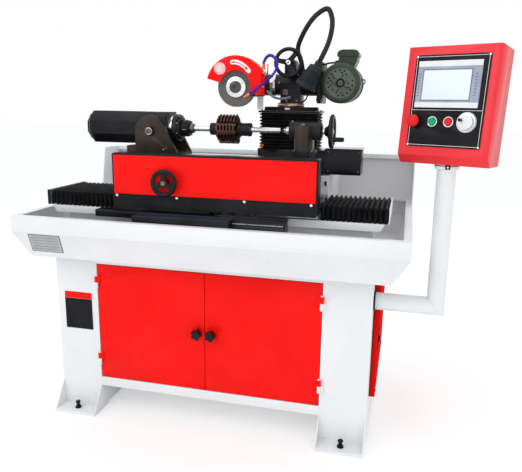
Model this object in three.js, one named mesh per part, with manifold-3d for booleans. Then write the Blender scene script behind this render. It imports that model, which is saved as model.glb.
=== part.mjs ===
// Universal tool grinder: a floor-standing machine with a coolant tray, a sliding table that
// carries a workhead and a tailstock, a lifting and swivelling wheel head behind it, and a
// control panel on a pole.
// Millimetres, +X to the operator's right, +Y away from the operator, +Z up from the floor.
import * as THREE from "three";
import { mergeVertices } from "three/addons/utils/BufferGeometryUtils.js";
import Module from "manifold-3d";

const wasm = await Module();
wasm.setup();

// Clearances and sheet
const TOUCH = 0.3;
const RUN = 4;
const OVERRUN = 2;
const SHEET = 4;

// Pedestals, cabinet and doors
const CABINET_HALF = 452.3;
const PEDESTAL_WIDTH = 178.4;
const PEDESTAL_FRONT = -289.4;
const PEDESTAL_DEPTH = 689.4;
const PEDESTAL_TOP = 660;
const FOOT_REACH = 75;
const FOOT_DEPTH = 120;
const FOOT_RISE = 112;
const FOOT_LIFT = 10;
const FOOT_PLATE = 12;
const BEAM_BOTTOM = 105;
const DOOR_BOTTOM = 146;
const DOOR_TOP = 626;
const DOOR_GAP = 2.5;
const DOOR_RETURN = 18;
const HINGE_RADIUS = 7;
const HINGE_PIN = 3.5;
const HINGE_PIN_RISE = 18;
const HINGE_LENGTH = 26;
const HINGE_HEIGHTS = [228, 553];
const KNOB_RADIUS = 21;
const KNOB_LOBES = 5;
const KNOB_POINTS = 30;
const KNOB_WAVE = 2.5;
const KNOB_NECK = 11.7;
const KNOB_LENGTH = 24;
const KNOB_STAND = 8;
const KNOB_STEM = 6;
const KNOB_HEIGHT = 383;
const KNOB_INSET = 28;
const CAM_LENGTH = 26;
const CAM_THICK = 4;

// Electrical cabinet door on the right pedestal
const SIDE_FRONT = -185;
const SIDE_LENGTH = 560;
const SIDE_BOTTOM = 150;
const SIDE_HEIGHT = 480;
const SIDE_DEPTH = 22;
const SIDE_LAP = 22;
const SIDE_CORNER = 14;

// Coolant tray, splash guard and tank
const TRAY_HALF = 750;
const TRAY_FRONT = -391.8;
const TRAY_DEPTH = 902.3;
const TRAY_TOP = 822;
const TRAY_LIP = 63;
const TRAY_RIM = 28.6;
const SLOPE_IN_X = 59;
const SLOPE_IN_Y = 33;
const GUARD_START = 309;
const GUARD_LEAN = 47;
const GUARD_HEIGHT = 211;
const GUARD_FLANGE = 26;
const GUARD_LIP = 19;
const TANK_WIDTH = 560;
const TANK_DEPTH = 380;
const TANK_HEIGHT = 210;
const TANK_BACK_GAP = 40;
const TANK_RIM = 14;

// Bed, ways and table drive
const BED_HALF = 655;
const BED_DRAFT = 16;
const BED_FRONT = -250;
const BED_DEPTH = 265;
const BED_THICK = 28;
const BED_TOP = 848;
const BED_FOOT_INSET = 35;
const WAY_WIDTH = 26;
const WAY_HEIGHT = 24;
const WAY_SPREAD = 146;
const WAY_OVERHANG = 12;
const END_PLATE = 4;
const END_HEIGHT = 57;
const APRON_LEFT = -436;
const APRON_RIGHT = 310;
const APRON_DEPTH = 55;
const APRON_BOTTOM = 790;
const RAIL_BOTTOM = 824;
const APRON_TOP = 850;
const DRIVE_LEFT = -258;
const DRIVE_RIGHT = 115;
const DRIVE_DEPTH = 50;
const DRIVE_TOP = 843;
const DRIVE_BOTTOM = 775;
const GUIDE_DEPTH = 14;
const GUIDE_TOP = 826;

// Table, its cover, handwheel, gear and rack
const TABLE_LEFT = -345;
const TABLE_RIGHT = 375;
const TABLE_FRONT = -245;
const TABLE_DEPTH = 255;
const TABLE_TOP = 1050;
const SLIDE_TOP = 905;
const SLOT_MOUTH = 14;
const SLOT_WIDTH = 24;
const SLOT_MOUTH_DEPTH = 12;
const SLOT_DEPTH = 22;
const CHANNEL_WIDTH = 86;
const CHANNEL_ROOF = 40;
const COVER_LEFT = -353;
const COVER_RIGHT = 424;
const COVER_FRONT = -310;
const COVER_BOTTOM = 868;
const COVER_TOP = 1069;
const COVER_CORNER = 7;
const COVER_FLANGE = 20;
const PANEL_INSET = 6.5;
const PANEL_BOTTOM = 918;
const PANEL_THICK = 3;
const TABLE_WHEEL_X = -137;
const TABLE_WHEEL_Z = 967;
const TABLE_WHEEL_RADIUS = 51;
const TABLE_WHEEL_RIM = 8.5;
const TABLE_WHEEL_HUB = 15;
const TABLE_WHEEL_STAND = 13;
const SPOKE_ROOT_SHARE = 0.55;
const SPOKE_TIP_SHARE = 0.6;
const PINION_SHAFT = 9;
const PINION_NOSE = 6.5;
const MODULE = 6;
const GEAR_TEETH = 30;
const GEAR_WIDTH = 14;
const RACK_TEETH = 20;
const TOOTH_SHARE = 0.4;
const FLANK_SLOPE_SHARE = 0.36;
const DEDENDUM_SHARE = 1.25;

// Bellows
const BELLOWS_BACK = 21;
const BELLOWS_WALL = 3;
const BELLOWS_FOLD = 7;
const TABLE_PLEATS = 14;
const COLUMN_PLEATS = 9;

// Workhead, arbor and cutter
const WORK_Z = 1157;
const BRACKET_FRONT = -192;
const CHEEK = 12;
const BRACKET_BASE = 14;
const BRACKET_LEFT = -312;
const BRACKET_RIGHT = -138;
const CHEEK_RADIUS = 61;
const CHEEK_SHOULDER = 12;
const CHEEK_FROM = 32;
const TILT_X = -252;
const TILT_DROP = 11;
const TILT_PIN = 12;
const TILT_HEAD = 17;
const TILT_HEAD_THICK = 8;
const STRUT_WIDTH = 50;
const STRUT_GAP = 8;
const BODY_RIGHT = -192;
const BODY_RISE = 61;
const BODY_DROP = 62;
const BODY_CHAMFER = 18;
const MOTOR_FLATS = 124;
const MOTOR_LEFT = -531;
const MOTOR_CHAMFER = 16;
const SPINDLE_RADIUS = 20;
const SPINDLE_DEPTH = 70;
const RING_RADIUS = 47;
const RING_WIDTH = 18;
const FLANGE_RADIUS = 52.5;
const FLANGE_WIDTH = 29;
const NUT_RADIUS = 30;
const NUT_WIDTH = 33;
const COLLET_RADIUS = 19;
const COLLET_NOSE = 16;
const COLLET_WIDTH = 16;
const ARBOR_RADIUS = 11;
const ARBOR_END = 246;
const ARBOR_TAIL_RADIUS = 10;
const ARBOR_GRIP = 30;
const HOB_LEFT = 3;
const HOB_WIDTH = 77;
const HOB_RADIUS = 57;
const HOB_ROWS = 6;
const HOB_GASHES = 9;
const HOB_FOOT_SHARE = 0.1;
const HOB_LAND_SHARE = 0.33;
const HOB_GASH_SHARES = [[0, -0.1], [1, -0.16], [1, 0.42], [0, 0.06]];
const HOB_TOOTH_DEPTH = 11;
const HOB_GASH_DEPTH = 17;
const LEFT_SLEEVE_RADIUS = 23;
const LEFT_SLEEVE_WIDTH = 31;
const RIGHT_SLEEVE_RADIUS = 24.5;
const RIGHT_SLEEVE_WIDTH = 51;
const COLLAR_RADIUS = 27;
const COLLAR_WIDTH = 13;

// Tailstock
const TAIL_LEFT = 283;
const TAIL_RIGHT = 401;
const TAIL_RADIUS = 33;
const TAIL_FOOT = [296, 380];
const TAIL_FOOT_DEPTH = 96;
const TAIL_FOOT_HEIGHT = 34;
const TAIL_POST = [303, 370];
const TAIL_POST_DEPTH = 60;
const CLAMP_X = 337;
const CLAMP_RADIUS = 30;
const CLAMP_FORWARD = 34;
const CLAMP_TOP = 1178;
const CLAMP_BOTTOM = 1061;
const QUILL_RADIUS = 15;
const QUILL_TRAVEL = 25;
const CENTRE_LENGTH = 26;
const FEED_RADIUS = 8;
const TAIL_NUT = 10.5;
const TAIL_HUB = 412;
const TAIL_HUB_RADIUS = 17;
const TAIL_WHEEL = 440;
const TAIL_WHEEL_RADIUS = 62.5;
const TAIL_RIM = 8;
const GRIP_RADIUS = 8.5;
const GRIP_PIN = 5;
const GRIP_LENGTH = 42;
const GRIP_OFFSET = [-45, -26];

// Cross slide and column
const BASE_X = [90, 412];
const BASE_FRONT = 45;
const BASE_BACK_ROOM = 80.5;
const BASE_Y = [BASE_FRONT, TRAY_FRONT + TRAY_DEPTH - BASE_BACK_ROOM];
const BASE_TOP = 974;
const BASE_WALL = 15;
const RAIL_WIDTH = 30;
const RAIL_HEIGHT = 10;
const RAIL_INSET = 40;
const SADDLE_X = [113, 392];
const SADDLE_Y = [58, 212];
const SADDLE_TOP = 1075;
const FEED_BOX_RIGHT = 537;
const FEED_BOX_Y = [65, 175];
const FEED_BOX_TOP = 1080;
const BASE_RUN = 4;
const COLUMN_X = [117, 359];
const COLUMN_Y = [65, 205];
const COLUMN_TOP = 1220;
const POST = 70;
const POST_BOTTOM = 860;
const CROSS_FORWARD = 30;
const CROSS_BACK = 50;
const CAP_THICK = 7;
const CAP_OVERHANG = 4;
const HEAD_PLATE_INSET = 21;
const HEAD_PLATE_THICK = 16;

// Wheel head
const SWIVEL = [232, 140];
const SWIVEL_RADIUS = 55.5;
const SWIVEL_THICK = 13.5;
const SWIVEL_PIN = 20;
const HEAD_BLOCK_X = [196, 278];
const HEAD_BLOCK_DEPTH = 84;
const TUBE_Y = 150;
const TUBE_Z = 1332;
const TUBE_RADIUS = 42;
const TUBE_SIDES = 28;
const TUBE_X = [170, 350];
const ARM_RADIUS = 30;
const TILT_RING_RADIUS = 45.5;
const TILT_RING_WIDTH = 22;
const ARM_COLLAR = 29;
const WORM_X = 241;
const WORM_Z = 1412;
const WORM_BOSS = 19;
const WORM_BOSS_FRONT = 48;
const WORM_SHAFT = 7;
const HEAD_WHEEL_RADIUS = 58;
const HEAD_WHEEL_RIM = 7;
const HEAD_WHEEL_HUB = 12.5;
const HEAD_WHEEL_STAND = 14;
const HEAD_WHEEL_TURN = 50;
const WHEEL_X = 78.5;
const WHEEL_Z = 1313;
const WHEEL_FRONT = -138;
const WHEEL_RADIUS = 72;
const WHEEL_WIDTH = 20;
const WHEEL_BORE = 12;
const WHEEL_FLANGE = 38;
const WHEEL_FLANGE_WIDTH = 8;
const WHEEL_NUT = 22;
const WHEEL_NUT_WIDTH = 12;
const SOCKET = 7;
const HOUSING_RADIUS = 31;
const HOUSING_Y = [-100, 235.4];
const HOUSING_BLOCK_DEPTH = 80;
const MOUNT_THICK = 16;
const MOUNT_Y = [62, 222];
const MOUNT_Z = [1258, 1418];

// Wheel guard
const GUARD_RADIUS = 113;
const GUARD_SHEET = 3;
const GUARD_MOUTH = 60;
const GUARD_FROM = -20;
const GUARD_TO = 165;
const GUARD_SHOULDER = 40;
const GUARD_SIDE = 98.5;
const GUARD_SHOULDER_Z = 55;
const GUARD_HEM_Z = -29;
const GUARD_FRONT = -155;
const GUARD_REAR = -95;

// Motor, belt and belt guard
const MOTOR_X = 445;
const MOTOR_RISE = 23;
const MOTOR_RADIUS = 77;
const MOTOR_Y = [30, 235.4];
const MOTOR_COWL = 62;
const MOTOR_STEP = 4;
const MOTOR_ROUND = 12;
const MOTOR_FOOT_Z = 92;
const MOTOR_FOOT_Y = [86, 206];
const TERMINAL_X = [424, 508];
const TERMINAL_Y = [70, 165];
const TERMINAL_HEIGHT = 50;
const ROTOR_SHAFT = 9;
const ROTOR_DEPTH = 40;
const PULLEY_RADIUS = 15;
const PULLEY_WIDTH = 18;
const BELT_THICK = 3;
const BELT_WIDTH = 13;
const BELT_GUARD_WALL = 2.5;
const BELT_GUARD_ROOM = 2.5;
const BELT_GUARD_DEPTH = 36;

// Lamp, coolant and supply hoses
const NECK_RADIUS = 10;
const NECK_SEAT = 17;
const NECK_SEAT_THICK = 10;
const LAMP_Y = -8;
const SHADE_MOUTH = 43;
const SHADE_CROWN = 26;
const SHADE_WALL = 3;
const SHADE_LENGTH = 84;
const SHADE_NECK = 22;
const SHADE_LEAN = 46;
const VALVE_Y = -83;
const VALVE_BODY = 10;
const VALVE_NECK = 7;
const VALVE_HEIGHT = 34;
const VALVE_BORE = 4;
const VALVE_STEM = 4;
const VALVE_SEAT = 12;
const VALVE_Z = 1356;
const LEVER_LENGTH = 34;
const LEVER_WIDTH = 9;
const LEVER_THICK = 3;
const HOSE_RADIUS = 4.6;
const HOSE_RIB = 1.1;
const HOSE_BORE = 2.6;
const HOSE_RIB_PITCH = 7.4;
const NOZZLE_LENGTH = 24;
const NOZZLE_TIP = 3.6;
const NOZZLE_BORE = 1.3;
const HOSE_FRAMES = 400;
const HOSE_BORE_STEP = 5;
const HOSE_SAMPLES = 120;
const SUPPLY_RADIUS = 5.2;

// Pole and control panel
const POLE_X = 846;
const POLE_Y = -225;
const POLE_RADIUS = 31.5;
const POLE_WALL = 4;
const POLE_ELBOW = 559;
const POLE_TOP = 1064;
const COLLAR_HEIGHT = 16;
const COLLAR_FLANGE = 9;
const PANEL_YAW = 25.6;
const PANEL_LEAN = 7;
const PANEL_HALF = 152.5;
const PANEL_RISE = 176.2;
const PANEL_DEPTH = 109.3;
const PANEL_BEVEL = 28;
const PANEL_FORWARD = 50.4;
const PANEL_ASIDE = 3.5;
const PANEL_LIFT = 204.9;
const PLATE_HALF = 123.5;
const PLATE_Z = [-147.5, 148];
const PLATE_THICK = 3;
const SCREEN_X = [-108, 102];
const SCREEN_Z = [-21, 127.5];
const SCREEN_BEZEL = 6;
const SCREEN_BODY = 32;
const SCREEN_LIP = 9;
const CONTROL_Z = -65.7;
const STOP_X = -100.2;
const STOP_RADIUS = 20;
const STOP_HEAD = 12;
const STOP_ROUND = 5;
const STOP_STAND = 16;
const STOP_STEM = 8;
const BUTTON_X = { start_button: -40.5, stop_button: 14 };
const BUTTON_RADIUS = 12;
const BUTTON_CAP = 6;
const BUTTON_STAND = 5;
const BUTTON_STEM = 6;
const DIAL_X = 71.8;
const DIAL_RADIUS = 30;
const DIAL_FACE = 25;
const DIAL_HEIGHT = 16;
const DIAL_SKIRT = 4;
const DIAL_GRIP = [12.5, 5];
const DIAL_STEM = 5;
const STEM_DEPTH = 20;

// A solid from a three.js geometry.
function solid(geometry) {
  const bare = geometry.clone();
  bare.deleteAttribute("normal");
  bare.deleteAttribute("uv");
  const merged = mergeVertices(bare, 1e-4);
  const corners = merged.index.array;
  const kept = [];
  for (let i = 0; i < corners.length; i += 3) {
    const [a, b, c] = corners.slice(i, i + 3);
    if (a !== b && b !== c && c !== a) kept.push(a, b, c);
  }
  const mesh = new wasm.Mesh({
    numProp: 3,
    vertProperties: new Float32Array(merged.attributes.position.array),
    triVerts: new Uint32Array(kept),
  });
  return new wasm.Manifold(mesh);
}

const join = (first, ...others) => others.reduce((sum, one) => sum.add(one), first);
const cut = (first, ...others) => others.reduce((rest, one) => rest.subtract(one), first);

// [low, high] of a size about a centre, or from one end.
const about = (centre, size) => [centre - size / 2, centre + size / 2];
const from = (low, size) => [low, low + size];
const sorted = (a, b) => [Math.min(a, b), Math.max(a, b)];
const middle = ([low, high]) => (low + high) / 2;
const inset = ([low, high], amount) => [low + amount, high - amount];

function block(x, y, z) {
  const geometry = new THREE.BoxGeometry(x[1] - x[0], y[1] - y[0], z[1] - z[0]);
  return solid(geometry.translate(middle(x), middle(y), middle(z)));
}

// A block whose top and bottom rectangles differ.
function taperedBlock(x0, y0, z0, x1, y1, z1) {
  const geometry = new THREE.BoxGeometry(1, 1, 1);
  const place = geometry.attributes.position;
  for (let i = 0; i < place.count; i++) {
    const top = place.getZ(i) > 0;
    const [x, y] = top ? [x1, y1] : [x0, y0];
    place.setXYZ(i, place.getX(i) > 0 ? x[1] : x[0], place.getY(i) > 0 ? y[1] : y[0], top ? z1 : z0);
  }
  return solid(geometry);
}

// Turns geometry built along +Z onto an axis.
// The outline's plane is (y, z) for x, (x, z) for y and (x, y) for z.
function ontoAxis(geometry, axis) {
  if (axis === "x") {
    geometry.applyMatrix4(new THREE.Matrix4().set(0, 0, 1, 0, 1, 0, 0, 0, 0, 1, 0, 0, 0, 0, 0, 1));
  }
  if (axis === "y") {
    geometry.applyMatrix4(new THREE.Matrix4().set(1, 0, 0, 0, 0, 0, -1, 0, 0, 1, 0, 0, 0, 0, 0, 1));
  }
  return geometry;
}

function prism(axis, outline, [low, high], curveSegments = 6) {
  const corners = outline.isShape ? [] : outline.map(([a, b]) => new THREE.Vector2(a, b));
  const shape = outline.isShape ? outline : new THREE.Shape(corners);
  const settings = { depth: high - low, bevelEnabled: false, curveSegments };
  const geometry = ontoAxis(new THREE.ExtrudeGeometry(shape, settings), axis);
  const start = axis === "y" ? high : low;
  return solid(geometry.translate(...["x", "y", "z"].map((name) => (name === axis ? start : 0))));
}

// A solid of revolution about an axis. The profile lists [radius, place along the axis].
// The start angle turns its facets.
function turned(axis, [a, b], profile, sides = 18, start = 0) {
  let area = 0;
  profile.forEach(([r, s], i) => {
    const [r2, s2] = profile[(i + 1) % profile.length];
    area += r * s2 - r2 * s;
  });
  const path = area > 0 ? profile : [...profile].reverse();
  const closed = path[0][0] > 0 ? [...path, path[0]] : path;
  const lathe = new THREE.LatheGeometry(closed.map(([r, s]) => new THREE.Vector2(r, s)), sides, start);
  const ways = { x: lathe.clone().rotateZ(-Math.PI / 2), y: lathe, z: lathe.clone().rotateX(Math.PI / 2) };
  const along = ways[axis];
  const place = { x: [0, a, b], y: [a, 0, b], z: [a, b, 0] }[axis];
  return solid(along.translate(...place));
}

function rod(axis, centre, radius, [low, high], sides = 18) {
  return turned(axis, centre, [[0, low], [radius, low], [radius, high], [0, high]], sides);
}

// The hole for a round piece: its flats clear the piece's radius by the seating gap.
function bore(axis, centre, radius, span, sides = 18) {
  return rod(axis, centre, (radius + TOUCH) / Math.cos(Math.PI / sides), span, sides);
}

// A round bar along a smooth curve through the points.
function bentBar(points, radius, steps, sides = 10) {
  const curve = new THREE.CatmullRomCurve3(points.map((p) => new THREE.Vector3(...p)), false, "centripetal");
  const section = new THREE.Shape();
  for (let i = 0; i < sides; i++) {
    const angle = (i / sides) * 2 * Math.PI;
    const corner = [radius * Math.cos(angle), radius * Math.sin(angle)];
    if (i) section.lineTo(...corner);
    else section.moveTo(...corner);
  }
  return solid(new THREE.ExtrudeGeometry(section, { steps, extrudePath: curve }));
}

// Points of an arc, angles in degrees.
function arc([x, y], radius, start, end, steps) {
  const points = [];
  for (let i = 0; i <= steps; i++) {
    const angle = THREE.MathUtils.degToRad(start + ((end - start) * i) / steps);
    points.push([x + radius * Math.cos(angle), y + radius * Math.sin(angle)]);
  }
  return points;
}

function roundedRectangle(a, b, radius, steps = 3) {
  const right = inset(a, radius);
  const high = inset(b, radius);
  return [
    ...arc([right[1], high[1]], radius, 0, 90, steps),
    ...arc([right[0], high[1]], radius, 90, 180, steps),
    ...arc([right[0], high[0]], radius, 180, 270, steps),
    ...arc([right[1], high[0]], radius, 270, 360, steps),
  ];
}

// The machine is a tree of groups: a group stands at each pivot, and its pieces are placed from it.
const machine = new THREE.Group();
machine.userData.at = [0, 0, 0];

function pivot(parent, name, at) {
  const group = new THREE.Group();
  group.name = name;
  group.userData.at = at;
  group.position.set(...at.map((value, i) => value - parent.userData.at[i]));
  parent.add(group);
  return group;
}

function piece(parent, name, body, colour, roughness, metalness) {
  const { vertProperties, triVerts } = body.getMesh();
  const geometry = new THREE.BufferGeometry();
  geometry.setAttribute("position", new THREE.BufferAttribute(vertProperties, 3));
  geometry.setIndex(new THREE.BufferAttribute(triVerts, 1));
  const faceted = geometry.toNonIndexed();
  faceted.computeVertexNormals();
  const material = new THREE.MeshStandardMaterial({ color: colour, roughness, metalness });
  const mesh = new THREE.Mesh(faceted, material);
  mesh.name = name;
  mesh.position.set(...parent.userData.at.map((value) => -value));
  parent.add(mesh);
  return mesh;
}

// Finishes: colour, roughness, metalness
const WHITE_PAINT = [0xe9edef, 0.45, 0];
const RED_PAINT = [0xe21612, 0.4, 0];
const BLACK_PAINT = [0x1a1b1e, 0.4, 0];
const BLACK_IRON = [0x24242a, 0.5, 0.3];
const DARK_STEEL = [0x4a4440, 0.4, 0.8];
const BRIGHT_STEEL = [0xc6c8ca, 0.25, 1];
const TABLE_IRON = [0x6d6e70, 0.4, 0.8];
const BLACK_PLASTIC = [0x141416, 0.5, 0];
const BELLOWS_CLOTH = [0x0d0d0e, 0.7, 0];

// Pedestals
const PEDESTAL_Y = from(PEDESTAL_FRONT, PEDESTAL_DEPTH);
const PEDESTAL_OUTER = CABINET_HALF + PEDESTAL_WIDTH;
const HINGE_X = CABINET_HALF - DOOR_GAP / 2;
const HINGE_Y = PEDESTAL_FRONT - HINGE_RADIUS;
const SIDE_Y = from(SIDE_FRONT, SIDE_LENGTH);
const SIDE_Z = from(SIDE_BOTTOM, SIDE_HEIGHT);

// A foot: a flat pad with two triangular gussets; toward is -1 at the front and 1 at the back.
function foot(x, toward) {
  const wall = toward < 0 ? PEDESTAL_Y[0] : PEDESTAL_Y[1];
  const tip = wall + toward * FOOT_REACH;
  const pad = block(x, sorted(tip, tip - toward * FOOT_DEPTH), [0, FOOT_PLATE]);
  const root = wall - (toward * SHEET) / 2;
  const side = [[tip, FOOT_PLATE / 2], [root, FOOT_PLATE / 2], [root, FOOT_RISE]];
  return join(pad, prism("x", side, from(x[0], SHEET)), prism("x", side, [x[1] - SHEET, x[1]]));
}

function hingeSeat(side, height) {
  const seat = rod("z", [side * HINGE_X, HINGE_Y], HINGE_RADIUS, [height - HINGE_LENGTH, height], 12);
  const pinZ = [height - HINGE_PIN, height + HINGE_PIN_RISE];
  const pin = rod("z", [side * HINGE_X, HINGE_Y], HINGE_PIN, pinZ, 8);
  const leafX = sorted(side * HINGE_X, side * (CABINET_HALF + HINGE_RADIUS * 2));
  const leaf = block(leafX, [HINGE_Y, PEDESTAL_FRONT + SHEET / 2], [height - HINGE_LENGTH, height]);
  return join(seat, pin, leaf);
}

function pedestal(side) {
  const x = sorted(side * CABINET_HALF, side * PEDESTAL_OUTER);
  const shell = cut(
    block(x, PEDESTAL_Y, [FOOT_LIFT, PEDESTAL_TOP]),
    block(inset(x, SHEET), inset(PEDESTAL_Y, SHEET), [FOOT_LIFT - OVERRUN, PEDESTAL_TOP - SHEET]),
  );
  return join(shell, foot(x, -1), foot(x, 1), ...HINGE_HEIGHTS.map((height) => hingeSeat(side, height)));
}

function pedestals() {
  piece(machine, "left_pedestal", pedestal(-1), ...WHITE_PAINT);
  const doorway = block(
    [PEDESTAL_OUTER - SHEET - OVERRUN, PEDESTAL_OUTER + OVERRUN],
    inset(SIDE_Y, SIDE_LAP),
    inset(SIDE_Z, SIDE_LAP),
  );
  piece(machine, "right_pedestal", cut(pedestal(1), doorway), ...WHITE_PAINT);
}

// Cabinet shell: front beam, floor, back and header in one folded shell between the pedestals.
function cabinetShell() {
  const x = about(0, 2 * (CABINET_HALF - TOUCH));
  const front = from(PEDESTAL_FRONT, SHEET);
  const shell = join(
    block(x, front, [BEAM_BOTTOM, DOOR_BOTTOM - DOOR_GAP]),
    block(x, PEDESTAL_Y, from(BEAM_BOTTOM, SHEET)),
    block(x, [PEDESTAL_Y[1] - SHEET, PEDESTAL_Y[1]], [BEAM_BOTTOM, PEDESTAL_TOP]),
    block(x, PEDESTAL_Y, [PEDESTAL_TOP - SHEET, PEDESTAL_TOP]),
    block(x, front, [DOOR_TOP + DOOR_GAP, PEDESTAL_TOP]),
  );
  piece(machine, "cabinet_shell", shell, ...WHITE_PAINT);
}

// A door pan with its lift-off hinge knuckles, and the knob with its stem and cam.
function door(side, name) {
  const group = pivot(machine, name + "_hinge", [side * HINGE_X, HINGE_Y, DOOR_BOTTOM]);
  const x = sorted(side * DOOR_GAP / 2, side * (CABINET_HALF - DOOR_GAP));
  const z = [DOOR_BOTTOM, DOOR_TOP];
  const depth = from(PEDESTAL_FRONT, DOOR_RETURN);
  const knobX = side * KNOB_INSET;
  const knuckles = HINGE_HEIGHTS.map((height) => {
    const span = from(height + TOUCH, HINGE_LENGTH);
    const leafX = sorted(side * HINGE_X, side * (CABINET_HALF - DOOR_GAP - HINGE_RADIUS * 2));
    const leaf = block(leafX, [HINGE_Y, PEDESTAL_FRONT + SHEET / 2], span);
    const barrel = join(rod("z", [side * HINGE_X, HINGE_Y], HINGE_RADIUS, span, 12), leaf);
    const hole = bore("z", [side * HINGE_X, HINGE_Y], HINGE_PIN, inset(span, -OVERRUN), 8);
    return { barrel, hole };
  });
  const relief = HINGE_HEIGHTS.map((height) => {
    const reach = sorted(side * (CABINET_HALF - DOOR_GAP - HINGE_RADIUS), side * CABINET_HALF);
    const deep = [PEDESTAL_FRONT - OVERRUN, PEDESTAL_FRONT + SHEET / 2 + TOUCH];
    return block(reach, deep, inset([height - HINGE_LENGTH, height], -TOUCH));
  });
  const pan = cut(
    block(x, depth, z),
    block(inset(x, SHEET), [PEDESTAL_FRONT + SHEET, depth[1] + OVERRUN], inset(z, SHEET)),
  );
  const body = cut(
    join(pan, ...knuckles.map((one) => one.barrel)),
    ...knuckles.map((one) => one.hole),
    ...relief,
    bore("y", [knobX, KNOB_HEIGHT], KNOB_STEM, [PEDESTAL_FRONT - OVERRUN, depth[1]], 12),
  );
  piece(group, name, body, ...RED_PAINT);

  const knobPivot = pivot(group, name + "_knob_pivot", [knobX, PEDESTAL_FRONT, KNOB_HEIGHT]);
  const lobes = [];
  for (let i = 0; i < KNOB_POINTS; i++) {
    const angle = (i / KNOB_POINTS) * 2 * Math.PI;
    const reach = KNOB_RADIUS - KNOB_WAVE + KNOB_WAVE * Math.cos(KNOB_LOBES * angle);
    lobes.push([knobX + reach * Math.cos(angle), KNOB_HEIGHT + reach * Math.sin(angle)]);
  }
  const face = PEDESTAL_FRONT - TOUCH;
  const cam = [PEDESTAL_FRONT + SHEET + TOUCH, PEDESTAL_FRONT + SHEET + TOUCH + CAM_THICK];
  const knob = join(
    prism("y", lobes, [face - KNOB_STAND - KNOB_LENGTH, face - KNOB_STAND]),
    rod("y", [knobX, KNOB_HEIGHT], KNOB_NECK, [face - KNOB_STAND - OVERRUN, face], 16),
    rod("y", [knobX, KNOB_HEIGHT], KNOB_STEM, [face - KNOB_STAND, cam[1]], 12),
    block(about(knobX, KNOB_STEM * 2), cam, [KNOB_HEIGHT, KNOB_HEIGHT + CAM_LENGTH]),
  );
  piece(knobPivot, name + "_knob", knob, ...BLACK_PLASTIC);
}

// The electrical cabinet's pan door on the right pedestal's outer side, hinged at its back edge.
function electricalDoor() {
  const x = from(PEDESTAL_OUTER + TOUCH, SIDE_DEPTH);
  const group = pivot(machine, "electrical_door_hinge", [x[1] + TOUCH, SIDE_Y[1], SIDE_BOTTOM]);
  const outer = prism("x", roundedRectangle(SIDE_Y, SIDE_Z, SIDE_CORNER), x);
  const inner = block(
    [x[0] - OVERRUN, x[1] - SHEET],
    inset(SIDE_Y, SIDE_LAP / 2),
    inset(SIDE_Z, SIDE_LAP / 2),
  );
  piece(group, "electrical_door", cut(outer, inner), ...RED_PAINT);
}

// Coolant tray
const TRAY_Y = from(TRAY_FRONT, TRAY_DEPTH);
const TRAY_X = [-TRAY_HALF, TRAY_HALF];
const TRAY_FLOOR = PEDESTAL_TOP + TOUCH + SHEET;
const LIP_BOTTOM = TRAY_TOP - TRAY_LIP;

function coolantTray() {
  const outerX = inset(TRAY_X, SLOPE_IN_X);
  const outerY = inset(TRAY_Y, SLOPE_IN_Y);
  const tray = cut(
    join(
      block(TRAY_X, TRAY_Y, [LIP_BOTTOM, TRAY_TOP]),
      taperedBlock(outerX, outerY, PEDESTAL_TOP + TOUCH, TRAY_X, TRAY_Y, LIP_BOTTOM + TOUCH),
    ),
    block(inset(TRAY_X, SHEET), inset(TRAY_Y, SHEET), [LIP_BOTTOM + SHEET, TRAY_TOP - SHEET]),
    taperedBlock(
      inset(outerX, SHEET), inset(outerY, SHEET), TRAY_FLOOR,
      inset(TRAY_X, SHEET), inset(TRAY_Y, SHEET), LIP_BOTTOM + SHEET + TOUCH,
    ),
    block(inset(TRAY_X, TRAY_RIM), inset(TRAY_Y, TRAY_RIM), [LIP_BOTTOM + SHEET, TRAY_TOP + OVERRUN]),
  );
  piece(machine, "coolant_tray", tray, ...WHITE_PAINT);
}

function splashGuard() {
  const z = from(TRAY_TOP + TOUCH, GUARD_HEIGHT);
  const back = [TRAY_Y[1] - SHEET, TRAY_Y[1]];
  const side = [[GUARD_START, z[0]], [TRAY_Y[1], z[0]], [TRAY_Y[1], z[1]], [GUARD_START + GUARD_LEAN, z[1]]];
  const foot = (x) => block(x, [GUARD_START, TRAY_Y[1]], from(z[0], SHEET));
  const guard = join(
    block(TRAY_X, back, z),
    prism("x", side, from(-TRAY_HALF, SHEET)),
    prism("x", side, [TRAY_HALF - SHEET, TRAY_HALF]),
    block(TRAY_X, [TRAY_Y[1] - GUARD_FLANGE, TRAY_Y[1]], [z[1] - SHEET, z[1]]),
    block(TRAY_X, from(TRAY_Y[1] - GUARD_FLANGE, SHEET), [z[1] - GUARD_LIP, z[1]]),
    block(TRAY_X, [TRAY_Y[1] - GUARD_FLANGE, TRAY_Y[1]], from(z[0], SHEET)),
    foot(from(-TRAY_HALF, GUARD_FLANGE)),
    foot([TRAY_HALF - GUARD_FLANGE, TRAY_HALF]),
  );
  piece(machine, "splash_guard", guard, ...WHITE_PAINT);
}

function coolantTank() {
  const x = about(0, TANK_WIDTH);
  const back = PEDESTAL_Y[1] - SHEET - TANK_BACK_GAP;
  const y = [back - TANK_DEPTH, back];
  const z = from(BEAM_BOTTOM + SHEET + TOUCH, TANK_HEIGHT);
  const tank = cut(
    join(block(x, y, z), block(inset(x, -TANK_RIM), inset(y, -TANK_RIM), [z[1] - SHEET, z[1]])),
    block(inset(x, SHEET), inset(y, SHEET), [z[0] + SHEET, z[1] + OVERRUN]),
  );
  piece(machine, "coolant_tank", tank, ...TABLE_IRON);
}

// Bed with its two ways and the bellows' end plates
const BED_Y = from(BED_FRONT, BED_DEPTH);
const WAY_MIDDLE = middle(BED_Y);
const WAY_TOP = BED_TOP + WAY_HEIGHT;
const WAY_HALF = BED_HALF + WAY_OVERHANG;
const wayY = (side, play = 0) => about(WAY_MIDDLE + (side * WAY_SPREAD) / 2, WAY_WIDTH + 2 * play);

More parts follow.
